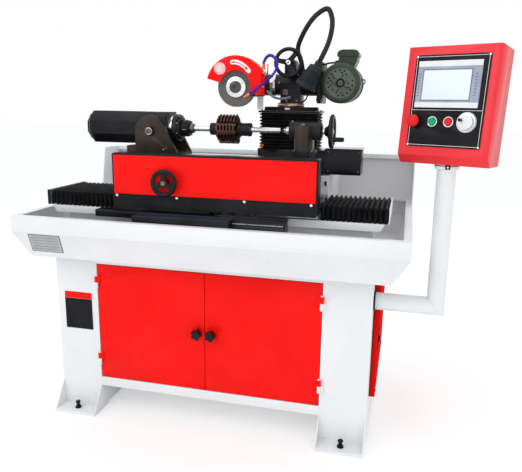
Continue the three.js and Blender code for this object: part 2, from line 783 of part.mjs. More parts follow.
function bed() {
  const low = BED_TOP - BED_THICK;
  const top = [-BED_HALF, BED_HALF];
  const ends = [-1, 1].map((side) => {
    const x = sorted(side * WAY_HALF, side * (WAY_HALF + END_PLATE));
    return block(x, [BED_FRONT, BELLOWS_BACK], from(BED_TOP, END_HEIGHT));
  });
  const body = join(
    taperedBlock(inset(top, BED_DRAFT), BED_Y, low, top, BED_Y, BED_TOP),
    block(
      inset(top, BED_FOOT_INSET + BED_DRAFT),
      inset(BED_Y, BED_FOOT_INSET),
      [TRAY_FLOOR + TOUCH, low + OVERRUN],
    ),
    ...[-1, 1].map((side) => block(
      [-WAY_HALF - TOUCH, WAY_HALF + TOUCH],
      wayY(side),
      [BED_TOP - OVERRUN, WAY_TOP],
    )),
    ...ends,
  );
  piece(machine, "bed", body, ...WHITE_PAINT);
}

// Black apron on the bed's front: a slim rail, the drive cover and the cable guide
function bedApron() {
  const y = [BED_FRONT - APRON_DEPTH, BED_FRONT - TOUCH];
  const front = y[0] + OVERRUN;
  const apron = join(
    block([APRON_LEFT, APRON_RIGHT], y, [RAIL_BOTTOM, APRON_TOP]),
    block([DRIVE_LEFT, APRON_RIGHT], y, [APRON_BOTTOM, APRON_TOP]),
    block([DRIVE_LEFT, DRIVE_RIGHT], [y[0] - DRIVE_DEPTH, front], [DRIVE_BOTTOM, DRIVE_TOP]),
    block([DRIVE_RIGHT - OVERRUN, APRON_RIGHT], [y[0] - GUIDE_DEPTH, front], [APRON_BOTTOM, GUIDE_TOP]),
  );
  piece(machine, "bed_apron", apron, ...BLACK_PAINT);
}

// Rack and gear share the module; both have straight flanks with play between them.
const PITCH = Math.PI * MODULE;
const GEAR_PITCH_RADIUS = (MODULE * GEAR_TEETH) / 2;
const PITCH_LINE = TABLE_WHEEL_Z - GEAR_PITCH_RADIUS;
const GEAR_Y = from(COVER_FRONT + SHEET + RUN + OVERRUN, GEAR_WIDTH);

function tableRack() {
  const half = (TOOTH_SHARE * PITCH) / 2;
  const tip = half - FLANK_SLOPE_SHARE * MODULE;
  const root = half + FLANK_SLOPE_SHARE * DEDENDUM_SHARE * MODULE;
  const low = PITCH_LINE - DEDENDUM_SHARE * MODULE;
  const first = TABLE_WHEEL_X - (RACK_TEETH / 2 + 1) * PITCH;
  const high = PITCH_LINE + MODULE;
  const outline = [[first - PITCH / 2, APRON_TOP + TOUCH], [first - PITCH / 2, low]];
  for (let i = 0; i < RACK_TEETH; i++) {
    const x = first + i * PITCH;
    outline.push([x - root, low], [x - tip, high], [x + tip, high], [x + root, low]);
  }
  const end = first + RACK_TEETH * PITCH - PITCH / 2;
  outline.push([end, low], [end, APRON_TOP + TOUCH]);
  piece(machine, "table_rack", prism("y", outline, GEAR_Y), ...DARK_STEEL);
}

// The gear's outline: a tooth space faces down, where the rack has a tooth below the shaft.
function gearOutline() {
  const half = (TOOTH_SHARE * PITCH) / 2;
  const inner = GEAR_PITCH_RADIUS - DEDENDUM_SHARE * MODULE;
  const outer = GEAR_PITCH_RADIUS + MODULE;
  const root = (half + FLANK_SLOPE_SHARE * DEDENDUM_SHARE * MODULE) / inner;
  const tip = (half - FLANK_SLOPE_SHARE * MODULE) / outer;
  const points = [];
  for (let i = 0; i < GEAR_TEETH; i++) {
    const angle = -Math.PI / 2 + ((2 * i + 1) * Math.PI) / GEAR_TEETH;
    for (const [r, turn] of [[inner, -root], [outer, -tip], [outer, tip], [inner, root]]) {
      points.push([TABLE_WHEEL_X + r * Math.cos(angle + turn), TABLE_WHEEL_Z + r * Math.sin(angle + turn)]);
    }
  }
  return points;
}

// A rim of round section with a hub and flat spokes, about the Y axis.
function spokedWheel([x, z], radius, rim, hub, y, spokes, first) {
  const centre = middle(y);
  const ring = arc([radius - rim, centre], rim, 0, 360, 8).slice(0, -1);
  const parts = [turned("y", [x, z], ring, 24), rod("y", [x, z], hub, y, 16)];
  for (let i = 0; i < spokes; i++) {
    const angle = THREE.MathUtils.degToRad(first + (i * 360) / spokes);
    const [c, s] = [Math.cos(angle), Math.sin(angle)];
    const near = hub / 2;
    const far = radius - rim;
    const wide = [hub * SPOKE_ROOT_SHARE, rim * SPOKE_TIP_SHARE];
    const corners = [[near, -wide[0]], [far, -wide[1]], [far, wide[1]], [near, wide[0]]];
    const outline = corners.map(([a, b]) => [x + a * c - b * s, z + a * s + b * c]);
    parts.push(prism("y", outline, about(centre, rim)));
  }
  return join(...parts);
}

const TABLE_Y = from(TABLE_FRONT, TABLE_DEPTH);
const TABLE_X = [TABLE_LEFT, TABLE_RIGHT];
const WORK_Y = -115;
const slide = pivot(machine, "table_slide", [0, WORK_Y, BED_TOP]);

function table() {
  const slideX = inset([COVER_LEFT, COVER_RIGHT], SHEET + OVERRUN);
  const through = inset(slideX, -OVERRUN);
  const bottom = BED_TOP + RUN;
  const body = cut(
    join(
      block(slideX, TABLE_Y, [bottom, SLIDE_TOP]),
      block(TABLE_X, TABLE_Y, [SLIDE_TOP - OVERRUN, TABLE_TOP]),
    ),
    ...[-1, 1].map((side) => block(through, wayY(side, TOUCH), [bottom - OVERRUN, WAY_TOP + TOUCH])),
    block(through, about(WAY_MIDDLE, CHANNEL_WIDTH), [bottom - OVERRUN, TABLE_TOP - CHANNEL_ROOF]),
    block(through, about(WORK_Y, SLOT_MOUTH), [TABLE_TOP - SLOT_MOUTH_DEPTH - OVERRUN, TABLE_TOP + OVERRUN]),
    block(through, about(WORK_Y, SLOT_WIDTH), [TABLE_TOP - SLOT_DEPTH, TABLE_TOP - SLOT_MOUTH_DEPTH]),
    bore("y", [TABLE_WHEEL_X, TABLE_WHEEL_Z], PINION_SHAFT, [TABLE_FRONT - OVERRUN, WAY_MIDDLE], 16),
  );
  piece(slide, "table", body, ...TABLE_IRON);
}

// Cover in front of the table: a pan open at the back and the bottom.
// Its end flanges lie on the table's front face.
function tableCover() {
  const x = [COVER_LEFT, COVER_RIGHT];
  const y = [COVER_FRONT, TABLE_FRONT - TOUCH];
  const flange = [y[1] - SHEET, y[1]];
  const notch = [PITCH_LINE - GEAR_PITCH_RADIUS, PITCH_LINE + MODULE + RUN];
  const inside = [COVER_BOTTOM - OVERRUN, COVER_TOP - SHEET];
  const body = cut(
    join(
      cut(
        prism("y", roundedRectangle(x, [COVER_BOTTOM, COVER_TOP], COVER_CORNER), y),
        block(inset(x, SHEET), [y[0] + SHEET, y[1] + OVERRUN], inside),
      ),
      block([x[0] + SHEET / 2, TABLE_LEFT + COVER_FLANGE], flange, [SLIDE_TOP, COVER_TOP - SHEET / 2]),
      block([TABLE_RIGHT - COVER_FLANGE, x[1] - SHEET / 2], flange, [SLIDE_TOP, COVER_TOP - SHEET / 2]),
    ),
    block(inset(x, -OVERRUN), inset(GEAR_Y, -RUN), notch),
    rod(
      "y", [TABLE_WHEEL_X, TABLE_WHEEL_Z], PINION_SHAFT + RUN,
      [y[0] - OVERRUN, y[0] + SHEET + OVERRUN], 16,
    ),
  );
  piece(slide, "table_cover", body, ...BLACK_PAINT);
  const back = COVER_FRONT - TOUCH;
  const plate = cut(
    block(inset(x, PANEL_INSET), [back - PANEL_THICK, back], [PANEL_BOTTOM, COVER_TOP - PANEL_INSET]),
    rod(
      "y", [TABLE_WHEEL_X, TABLE_WHEEL_Z], PINION_SHAFT + RUN,
      [back - PANEL_THICK - OVERRUN, COVER_FRONT], 16,
    ),
  );
  piece(slide, "cover_panel", plate, ...RED_PAINT);
}

function tableDrive() {
  const at = [TABLE_WHEEL_X, TABLE_WHEEL_Z];
  const face = COVER_FRONT - TOUCH - PANEL_THICK;
  const group = pivot(slide, "table_handwheel_pivot", [at[0], face, at[1]]);
  const wheelY = [face - TABLE_WHEEL_STAND - 2 * TABLE_WHEEL_RIM, face - TABLE_WHEEL_STAND + 2 * TOUCH];
  const wheel = cut(
    spokedWheel(at, TABLE_WHEEL_RADIUS, TABLE_WHEEL_RIM, TABLE_WHEEL_HUB, wheelY, 3, 90),
    bore("y", at, PINION_NOSE, inset(wheelY, -OVERRUN), 16),
  );
  piece(group, "table_handwheel", wheel, ...BLACK_PLASTIC);
  const shaft = join(
    rod("y", at, PINION_NOSE, [wheelY[0], wheelY[1] + OVERRUN], 16),
    rod("y", at, PINION_SHAFT, [wheelY[1] + TOUCH, TABLE_FRONT + CHANNEL_WIDTH], 16),
    rod("y", at, PINION_SHAFT * 2, [GEAR_Y[0] - TOUCH, GEAR_Y[1] + RUN], 16),
    prism("y", gearOutline(), GEAR_Y),
  );
  piece(group, "pinion_shaft", shaft, ...DARK_STEEL);
}

// A folded cover along an axis: the outline swells and shrinks by the fold from pleat to pleat.
function pleated(axis, outlineAt, [low, high], pleats, endsOpen) {
  const step = (high - low) / pleats;
  const parts = [];
  for (let i = 0; i < pleats; i++) {
    const span = [low + i * step - (i ? TOUCH : 0), low + (i + 1) * step];
    parts.push(prism(axis, outlineAt(i % 2 ? BELLOWS_FOLD : 0), span));
  }
  return cut(join(...parts), endsOpen);
}

// The table's bellows bridge the ways like an upturned channel, on the bed at both ends of the table.
function tableBellows() {
  const outer = [BED_FRONT, BELLOWS_BACK];
  const bottom = BED_TOP + TOUCH;
  const top = BED_TOP + END_HEIGHT;
  const wall = BELLOWS_FOLD + BELLOWS_WALL;
  const outline = (shrink) => [
    [outer[0] + shrink, bottom], [outer[1] - shrink, bottom],
    [outer[1] - shrink, top - shrink], [outer[0] + shrink, top - shrink],
  ];
  const ends = {
    left_bellows: [-WAY_HALF + TOUCH, COVER_LEFT - TOUCH],
    right_bellows: [COVER_RIGHT + TOUCH, WAY_HALF - TOUCH],
  };
  for (const [name, x] of Object.entries(ends)) {
    const space = block(inset(x, -OVERRUN), inset(outer, wall), [bottom - OVERRUN, top - wall]);
    piece(machine, name, pleated("x", outline, x, TABLE_PLEATS, space), ...BELLOWS_CLOTH);
  }
}

// Workhead: a bracket with two cheeks on the table, and a tilting body with motor, chuck, arbor and cutter.
const WORK = [WORK_Y, WORK_Z];
const TILT_Z = WORK_Z - TILT_DROP;
const tilt = pivot(slide, "workhead_tilt", [TILT_X, WORK_Y, TILT_Z]);
const work = pivot(tilt, "work_spindle", [BODY_RIGHT, WORK_Y, WORK_Z]);
const BRACKET_Y = [BRACKET_FRONT, 2 * WORK_Y - BRACKET_FRONT];
const TABLE_SEAT = TABLE_TOP + TOUCH;

function workheadBracket() {
  const bottom = TABLE_SEAT;
  const outline = [
    [BRACKET_RIGHT, bottom],
    [BRACKET_RIGHT, bottom + CHEEK_SHOULDER],
    ...arc([TILT_X, TILT_Z], CHEEK_RADIUS, CHEEK_FROM, 180, 10),
    [TILT_X - CHEEK_RADIUS, bottom],
  ];
  const strutX = [BRACKET_LEFT - STRUT_WIDTH, BRACKET_LEFT + OVERRUN];
  const body = cut(
    join(
      block([BRACKET_LEFT, BRACKET_RIGHT], BRACKET_Y, from(bottom, BRACKET_BASE)),
      prism("y", outline, from(BRACKET_Y[0], CHEEK)),
      prism("y", outline, [BRACKET_Y[1] - CHEEK, BRACKET_Y[1]]),
      block(strutX, inset(BRACKET_Y, 2 * CHEEK), [bottom, WORK_Z - MOTOR_FLATS / 2 - STRUT_GAP]),
    ),
    bore("y", [TILT_X, TILT_Z], TILT_PIN, inset(BRACKET_Y, -OVERRUN)),
  );
  piece(slide, "workhead_bracket", body, ...BLACK_IRON);
}

function workheadBody() {
  const y = inset(BRACKET_Y, CHEEK + TOUCH);
  const z = [WORK_Z - BODY_DROP, WORK_Z + BODY_RISE];
  const outline = [
    [y[0], z[0]], [y[1], z[0]],
    [y[1], z[1] - BODY_CHAMFER], [y[1] - BODY_CHAMFER, z[1]],
    [y[0] + BODY_CHAMFER, z[1]], [y[0], z[1] - BODY_CHAMFER],
  ];
  const pinY = inset(BRACKET_Y, -TOUCH);
  const body = cut(
    join(
      prism("x", outline, [BRACKET_LEFT, BODY_RIGHT]),
      rod("y", [TILT_X, TILT_Z], TILT_PIN, inset(pinY, -OVERRUN)),
      rod("y", [TILT_X, TILT_Z], TILT_HEAD, [pinY[0] - TILT_HEAD_THICK, pinY[0]]),
      rod("y", [TILT_X, TILT_Z], TILT_HEAD, [pinY[1], pinY[1] + TILT_HEAD_THICK]),
    ),
    bore("x", WORK, SPINDLE_RADIUS, [BODY_RIGHT - SPINDLE_DEPTH - OVERRUN, BODY_RIGHT + OVERRUN]),
  );
  piece(tilt, "workhead_body", body, ...BLACK_IRON);
  const corner = MOTOR_FLATS / 2 / Math.cos(Math.PI / 8);
  const right = BRACKET_LEFT - TOUCH;
  const profile = [
    [0, MOTOR_LEFT], [corner - MOTOR_CHAMFER, MOTOR_LEFT],
    [corner, MOTOR_LEFT + MOTOR_CHAMFER], [corner, right], [0, right],
  ];
  piece(tilt, "workhead_motor", turned("x", WORK, profile, 8, Math.PI / 8), ...BLACK_PAINT);
}

function workSpindle() {
  const face = BODY_RIGHT + TOUCH;
  const flange = face + RING_WIDTH;
  const nut = flange + FLANGE_WIDTH;
  const end = nut + NUT_WIDTH;
  const grip = end - ARBOR_GRIP;
  const chuck = turned("x", WORK, [
    [0, face - SPINDLE_DEPTH], [SPINDLE_RADIUS, face - SPINDLE_DEPTH], [SPINDLE_RADIUS, face],
    [RING_RADIUS, face], [RING_RADIUS, flange], [FLANGE_RADIUS, flange],
    [FLANGE_RADIUS, nut], [NUT_RADIUS, nut], [NUT_RADIUS, end],
    [ARBOR_RADIUS + TOUCH, end], [ARBOR_RADIUS + TOUCH, grip - TOUCH], [0, grip - TOUCH],
  ], 24);
  piece(work, "chuck", chuck, ...BLACK_IRON);
  const collet = end + TOUCH;
  const hobX = from(HOB_LEFT, HOB_WIDTH);
  const left = hobX[0] - TOUCH;
  const right = hobX[1] + TOUCH;
  const arbor = turned("x", WORK, [
    [0, grip], [ARBOR_RADIUS, grip], [ARBOR_RADIUS, collet],
    [COLLET_RADIUS, collet], [COLLET_NOSE, collet + COLLET_WIDTH], [ARBOR_RADIUS, collet + COLLET_WIDTH],
    [ARBOR_RADIUS, left - LEFT_SLEEVE_WIDTH], [LEFT_SLEEVE_RADIUS, left - LEFT_SLEEVE_WIDTH],
    [LEFT_SLEEVE_RADIUS, left], [ARBOR_RADIUS, left], [ARBOR_RADIUS, right], [COLLAR_RADIUS, right],
    [COLLAR_RADIUS, right + COLLAR_WIDTH], [RIGHT_SLEEVE_RADIUS, right + COLLAR_WIDTH],
    [RIGHT_SLEEVE_RADIUS, right + RIGHT_SLEEVE_WIDTH], [ARBOR_TAIL_RADIUS, right + RIGHT_SLEEVE_WIDTH],
    [ARBOR_TAIL_RADIUS, ARBOR_END], [0, ARBOR_END],
  ], 18);
  piece(work, "arbor", arbor, ...BRIGHT_STEEL);
}

// The cutter: rows of teeth round it, cut by straight gashes along it.
function hob() {
  const x = from(HOB_LEFT, HOB_WIDTH);
  const pitch = HOB_WIDTH / HOB_ROWS;
  const low = HOB_RADIUS - HOB_TOOTH_DEPTH;
  const profile = [[ARBOR_RADIUS + TOUCH, x[0]], [low, x[0]]];
  for (let i = 0; i < HOB_ROWS; i++) {
    const start = x[0] + i * pitch;
    const [foot, land] = [pitch * HOB_FOOT_SHARE, pitch * HOB_LAND_SHARE];
    profile.push([low, start + foot], [HOB_RADIUS, start + land]);
    profile.push([HOB_RADIUS, start + pitch - land], [low, start + pitch - foot]);
  }
  profile.push([low, x[1]], [ARBOR_RADIUS + TOUCH, x[1]]);
  const ribbed = turned("x", WORK, profile);
  const gashes = [];
  for (let i = 0; i < HOB_GASHES; i++) {
    const angle = (i / HOB_GASHES) * 2 * Math.PI;
    const corners = HOB_GASH_SHARES.map(([out, turn]) => {
      const r = HOB_RADIUS - HOB_GASH_DEPTH + out * (HOB_GASH_DEPTH + OVERRUN);
      const at = angle + (turn * 2 * Math.PI) / HOB_GASHES;
      return [WORK_Y + r * Math.cos(at), WORK_Z + r * Math.sin(at)];
    });
    gashes.push(prism("x", corners, inset(x, -OVERRUN)));
  }
  piece(work, "hob", cut(ribbed, ...gashes), 0x6b4a38, 0.45, 0.7);
}

// Tailstock: body, sliding quill with its centre, and the handwheel on the feed screw.
const quill = pivot(slide, "tail_quill", [ARBOR_END, WORK_Y, WORK_Z]);
const feed = pivot(slide, "tail_feed", [TAIL_HUB, WORK_Y, WORK_Z]);
const QUILL_END = TAIL_RIGHT - QUILL_TRAVEL - RUN - SHEET;

function tailstock() {
  const y = about(WORK_Y, TAIL_POST_DEPTH);
  const clampY = WORK_Y - CLAMP_FORWARD;
  const reach = block(about(CLAMP_X, 2 * CLAMP_RADIUS), [clampY, WORK_Y], [CLAMP_BOTTOM, CLAMP_TOP - RUN]);
  const body = cut(
    join(
      block(TAIL_FOOT, about(WORK_Y, TAIL_FOOT_DEPTH), from(TABLE_SEAT, TAIL_FOOT_HEIGHT)),
      block(TAIL_POST, y, [TABLE_SEAT + OVERRUN, WORK_Z]),
      rod("x", WORK, TAIL_RADIUS, [TAIL_LEFT, TAIL_RIGHT], 20),
      reach,
      rod("z", [CLAMP_X, clampY], CLAMP_RADIUS, [CLAMP_BOTTOM, CLAMP_TOP], 24),
    ),
    bore("x", WORK, QUILL_RADIUS, [TAIL_LEFT - OVERRUN, TAIL_RIGHT - SHEET]),
    bore("x", WORK, TAIL_NUT, [TAIL_LEFT, TAIL_RIGHT + OVERRUN]),
  );
  piece(slide, "tailstock_body", body, ...DARK_STEEL);
  const tip = ARBOR_END + TOUCH;
  const centre = tip + CENTRE_LENGTH;
  const inside = FEED_RADIUS + 2 * TOUCH;
  const centreBar = turned("x", WORK, [
    [0, tip], [QUILL_RADIUS, centre], [QUILL_RADIUS, QUILL_END],
    [inside, QUILL_END], [inside, centre + RUN], [0, centre + RUN],
  ]);
  piece(quill, "tail_quill", centreBar, ...BRIGHT_STEEL);
  const [rim, hub] = [TAIL_WHEEL_RADIUS, TAIL_HUB_RADIUS];
  const screw = centre + RUN + QUILL_TRAVEL + RUN;
  const collar = TAIL_RIGHT - SHEET - TOUCH;
  const handle = [WORK_Y + GRIP_OFFSET[0], WORK_Z + GRIP_OFFSET[1]];
  const wheel = join(
    turned("x", WORK, [
      [0, screw], [FEED_RADIUS, screw], [FEED_RADIUS, collar], [TAIL_NUT, collar], [TAIL_NUT, TAIL_HUB],
      [hub, TAIL_HUB + RUN], [rim - 2 * TAIL_RIM, TAIL_WHEEL - SHEET],
      [rim - TAIL_RIM, TAIL_WHEEL - TAIL_RIM], [rim, TAIL_WHEEL - TAIL_RIM / 2],
      [rim, TAIL_WHEEL + TAIL_RIM / 2], [rim - TAIL_RIM, TAIL_WHEEL + TAIL_RIM],
      [rim - 2 * TAIL_RIM, TAIL_WHEEL + SHEET], [hub, TAIL_HUB + 2 * hub], [0, TAIL_HUB + 2 * hub],
    ], 24),
    rod("x", handle, GRIP_PIN, from(TAIL_WHEEL, TAIL_RIM + SHEET), 12),
    rod("x", handle, GRIP_RADIUS, from(TAIL_WHEEL + TAIL_RIM + TOUCH, GRIP_LENGTH), 12),
  );
  piece(feed, "tail_handwheel", wheel, ...BLACK_PLASTIC);
}

// Cross slide: white base on the tray's floor, black saddle on its rails, and the ram that
// lifts the wheel head.
const saddle = pivot(machine, "cross_slide_pivot", [middle(COLUMN_X), middle(COLUMN_Y), BASE_TOP]);
const lift = pivot(saddle, "column_lift", [middle(COLUMN_X), middle(COLUMN_Y), SADDLE_TOP]);
const postX = about(middle(COLUMN_X), POST);
const postY = about(middle(COLUMN_Y), POST);

function crossBase() {
  const z = [TRAY_FLOOR + TOUCH, BASE_TOP];
  const slotY = [postY[0] - CROSS_FORWARD - RUN, postY[1] + CROSS_BACK + RUN];
  const body = cut(
    join(
      block(BASE_X, BASE_Y, z),
      block(from(BASE_X[0] + RAIL_INSET, RAIL_WIDTH), BASE_Y, [z[1] - OVERRUN, z[1] + RAIL_HEIGHT]),
      block(
        from(BASE_X[1] - RAIL_INSET - RAIL_WIDTH, RAIL_WIDTH),
        BASE_Y,
        [z[1] - OVERRUN, z[1] + RAIL_HEIGHT],
      ),
    ),
    block(inset(BASE_X, BASE_WALL), inset(BASE_Y, BASE_WALL), [z[0] - OVERRUN, z[1] - BASE_WALL]),
    block(inset(postX, -RUN), slotY, [z[1] - BASE_WALL - OVERRUN, z[1] + OVERRUN]),
  );
  piece(machine, "cross_base", body, ...WHITE_PAINT);
}

function crossSlide() {
  const low = BASE_TOP + BASE_RUN;
  const railZ = [low - OVERRUN, BASE_TOP + RAIL_HEIGHT + TOUCH];
  const y = inset(SADDLE_Y, -OVERRUN);
  const body = cut(
    join(
      block(SADDLE_X, SADDLE_Y, [low, SADDLE_TOP]),
      block([SADDLE_X[1] - OVERRUN, FEED_BOX_RIGHT], FEED_BOX_Y, [low, FEED_BOX_TOP]),
    ),
    block(inset(from(BASE_X[0] + RAIL_INSET, RAIL_WIDTH), -TOUCH), y, railZ),
    block(inset(from(BASE_X[1] - RAIL_INSET - RAIL_WIDTH, RAIL_WIDTH), -TOUCH), y, railZ),
    block(inset(postX, -TOUCH), inset(postY, -TOUCH), [low - OVERRUN, SADDLE_TOP + OVERRUN]),
  );
  piece(saddle, "cross_slide", body, ...BLACK_PAINT);
}

function columnBellows() {
  const z = [SADDLE_TOP + TOUCH, COLUMN_TOP - TOUCH];
  const outline = (shrink) => {
    const x = inset(COLUMN_X, shrink);
    const y = inset(COLUMN_Y, shrink);
    return [[x[0], y[0]], [x[1], y[0]], [x[1], y[1]], [x[0], y[1]]];
  };
  const wall = BELLOWS_FOLD + BELLOWS_WALL;
  const space = block(inset(COLUMN_X, wall), inset(COLUMN_Y, wall), inset(z, -OVERRUN));
  piece(saddle, "column_bellows", pleated("z", outline, z, COLUMN_PLEATS, space), ...BELLOWS_CLOTH);
}

const CAP_TOP = COLUMN_TOP + CAP_THICK;
const PLATE_TOP = CAP_TOP + HEAD_PLATE_THICK;
const RING_TOP = PLATE_TOP + TOUCH + SWIVEL_THICK;

function columnRam() {
  const plateX = inset(COLUMN_X, HEAD_PLATE_INSET - CAP_OVERHANG);
  const plateY = inset(COLUMN_Y, CAP_OVERHANG);
  const topX = inset(plateX, CAP_OVERHANG);
  const topY = inset(plateY, CAP_OVERHANG);
  const body = cut(
    join(
      block(postX, postY, [POST_BOTTOM, COLUMN_TOP + OVERRUN]),
      block(inset(COLUMN_X, -CAP_OVERHANG), inset(COLUMN_Y, -CAP_OVERHANG), [COLUMN_TOP, CAP_TOP]),
      taperedBlock(plateX, plateY, CAP_TOP - OVERRUN, topX, topY, PLATE_TOP),
    ),
    bore("z", SWIVEL, SWIVEL_PIN, [CAP_TOP, PLATE_TOP + OVERRUN]),
  );
  piece(lift, "column_ram", body, ...BLACK_IRON);
  const ring = cut(
    rod("z", SWIVEL, SWIVEL_RADIUS, [PLATE_TOP + TOUCH, RING_TOP], 28),
    bore("z", SWIVEL, SWIVEL_PIN, [PLATE_TOP - OVERRUN, RING_TOP + OVERRUN]),
  );
  piece(lift, "swivel_ring", ring, 0xb08d6a, 0.35, 0.8);
}

// Wheel head: housing on the swivel, and the tilting arm through its tube.
const swivel = pivot(lift, "head_swivel", [...SWIVEL, RING_TOP]);
const arm = pivot(swivel, "head_tilt", [TUBE_X[0], TUBE_Y, TUBE_Z]);
const TUBE = [TUBE_Y, TUBE_Z];

function headHousing() {
  const low = RING_TOP + TOUCH;
  const body = cut(
    join(
      block(HEAD_BLOCK_X, about(SWIVEL[1], HEAD_BLOCK_DEPTH), [low, TUBE_Z]),
      rod("z", SWIVEL, SWIVEL_PIN, [CAP_TOP + OVERRUN, low + OVERRUN]),
      rod("x", TUBE, TUBE_RADIUS, TUBE_X, TUBE_SIDES),
      block(about(WORM_X, 2 * WORM_BOSS), [WORM_BOSS_FRONT, TUBE_Y], [TUBE_Z + ARM_RADIUS + RUN, WORM_Z]),
      rod("y", [WORM_X, WORM_Z], WORM_BOSS, [WORM_BOSS_FRONT, TUBE_Y]),
    ),
    bore("x", TUBE, ARM_RADIUS, inset(TUBE_X, -OVERRUN), TUBE_SIDES),
    bore("y", [WORM_X, WORM_Z], WORM_SHAFT, [WORM_BOSS_FRONT - OVERRUN, TUBE_Y], 12),
  );
  piece(swivel, "head_housing", body, ...BLACK_IRON);
}

function headHandwheel() {
  const at = [WORM_X, WORM_Z];
  const face = WORM_BOSS_FRONT - TOUCH;
  const group = pivot(swivel, "head_handwheel_pivot", [at[0], face, at[1]]);
  const y = [face - HEAD_WHEEL_STAND - 2 * HEAD_WHEEL_RIM, face - HEAD_WHEEL_STAND];
  const wheel = join(
    spokedWheel(at, HEAD_WHEEL_RADIUS, HEAD_WHEEL_RIM, HEAD_WHEEL_HUB, y, 3, HEAD_WHEEL_TURN),
    rod("y", at, HEAD_WHEEL_HUB, [y[0], face], 16),
    rod("y", at, WORM_SHAFT, [y[1], TUBE_Y - TUBE_RADIUS], 12),
  );
  piece(group, "head_handwheel", wheel, ...BLACK_PLASTIC);
}

function wheelArm() {
  const ring = [TUBE_X[0] - TOUCH - TILT_RING_WIDTH, TUBE_X[0] - TOUCH];
  const collar = [ring[0] - TOUCH - ARM_COLLAR, ring[0] - TOUCH];
  const mount = from(TUBE_X[1] + TOUCH, MOUNT_THICK);
  const housing = [WHEEL_X, WHEEL_Z];
  const blockX = [WHEEL_X - HOUSING_RADIUS, collar[0] + OVERRUN];
  const body = cut(
    join(
      rod("x", TUBE, ARM_RADIUS, [WHEEL_X, mount[1]], 24),
      rod("x", TUBE, TUBE_RADIUS, collar, 28),
      block(blockX, about(TUBE_Y, HOUSING_BLOCK_DEPTH), about(TUBE_Z, 2 * TUBE_RADIUS)),
      rod("y", housing, HOUSING_RADIUS, HOUSING_Y, 24),
      prism("x", roundedRectangle(MOUNT_Y, MOUNT_Z, SIDE_CORNER, 2), mount),
    ),
    bore("y", housing, WHEEL_BORE, inset(HOUSING_Y, -OVERRUN)),
  );
  piece(arm, "wheel_arm", body, ...BLACK_IRON);
  const inner = ARM_RADIUS + TOUCH;
  const tiltRing = turned("x", TUBE, [
    [inner, ring[0]], [TILT_RING_RADIUS, ring[0]], [TILT_RING_RADIUS, ring[1]], [inner, ring[1]],
  ], 24);
  piece(arm, "tilt_ring", tiltRing, ...BRIGHT_STEEL);
}

// Grinding wheel between its flanges on the spindle, with the driven pulley at the back.
const spin = pivot(arm, "wheel_spin", [WHEEL_X, WHEEL_FRONT, WHEEL_Z]);
const MOTOR_Z = WHEEL_Z + MOTOR_RISE;
const motorSpin = pivot(arm, "motor_spin", [MOTOR_X, MOTOR_Y[1], MOTOR_Z]);
const BELT_GUARD_Y = from(HOUSING_Y[1] + TOUCH, BELT_GUARD_DEPTH);
const PULLEY_Y = about(middle(BELT_GUARD_Y), PULLEY_WIDTH);
const DRIVE_PULLEY_RADIUS = PULLEY_RADIUS + MOTOR_RISE;

function grindingWheel() {
  const at = [WHEEL_X, WHEEL_Z];
  const y = from(WHEEL_FRONT, WHEEL_WIDTH);
  const wheel = turned("y", at, [
    [WHEEL_BORE + TOUCH, y[0]], [WHEEL_RADIUS, y[0]], [WHEEL_RADIUS, y[1]], [WHEEL_BORE + TOUCH, y[1]],
  ], 20);
  piece(spin, "grinding_wheel", wheel, 0x6e5d57, 0.95, 0);
  const flange = y[0] - TOUCH - WHEEL_FLANGE_WIDTH;
  const nut = flange - WHEEL_NUT_WIDTH;
  const rear = y[1] + TOUCH;
  const spindle = turned("y", at, [
    [0, nut + RUN], [SOCKET, nut + RUN], [SOCKET, nut],
    [WHEEL_NUT - OVERRUN, nut], [WHEEL_NUT, nut + OVERRUN],
    [WHEEL_NUT, flange], [WHEEL_FLANGE, flange], [WHEEL_FLANGE, y[0] - TOUCH], [WHEEL_BORE, y[0] - TOUCH],
    [WHEEL_BORE, rear], [WHEEL_FLANGE, rear], [WHEEL_FLANGE, rear + WHEEL_FLANGE_WIDTH],
    [WHEEL_BORE, rear + WHEEL_FLANGE_WIDTH], [WHEEL_BORE, PULLEY_Y[0]], [PULLEY_RADIUS, PULLEY_Y[0]],
    [PULLEY_RADIUS, PULLEY_Y[1]], [0, PULLEY_Y[1]],
  ], 20);
  piece(spin, "wheel_spindle", spindle, ...BRIGHT_STEEL);
}

// The guard's outline about the wheel: an arc over the top, a chamfered shoulder and a straight right side.
function guardOutline(shrink, mouth, past = 0) {
  const at = [WHEEL_X, WHEEL_Z];
  const side = WHEEL_X + GUARD_SIDE - shrink;
  return [
    ...arc(at, GUARD_RADIUS - shrink, GUARD_TO + past, GUARD_SHOULDER, 14),
    [side, WHEEL_Z + GUARD_SHOULDER_Z],
    [side, WHEEL_Z + GUARD_HEM_Z - past],
    ...arc(at, mouth, GUARD_FROM - past, GUARD_TO + past, 16),
  ];
}

function wheelGuard() {
  const front = from(GUARD_FRONT, GUARD_SHEET);
  const rear = [GUARD_REAR - GUARD_SHEET, GUARD_REAR];
  const space = prism("y", guardOutline(GUARD_SHEET, GUARD_MOUTH - OVERRUN, OVERRUN), [front[1], rear[0]]);
  const clamp = HOUSING_RADIUS + 2 * RUN;
  const body = cut(
    join(
      cut(prism("y", guardOutline(0, GUARD_MOUTH), [front[0], rear[1]]), space),
      prism("y", guardOutline(0, HOUSING_RADIUS + RUN), rear),
      rod("y", [WHEEL_X, WHEEL_Z], clamp, rear, 24),
    ),
    bore("y", [WHEEL_X, WHEEL_Z], HOUSING_RADIUS, inset(rear, -OVERRUN), 24),
  );
  piece(arm, "wheel_guard", body, ...RED_PAINT);
}

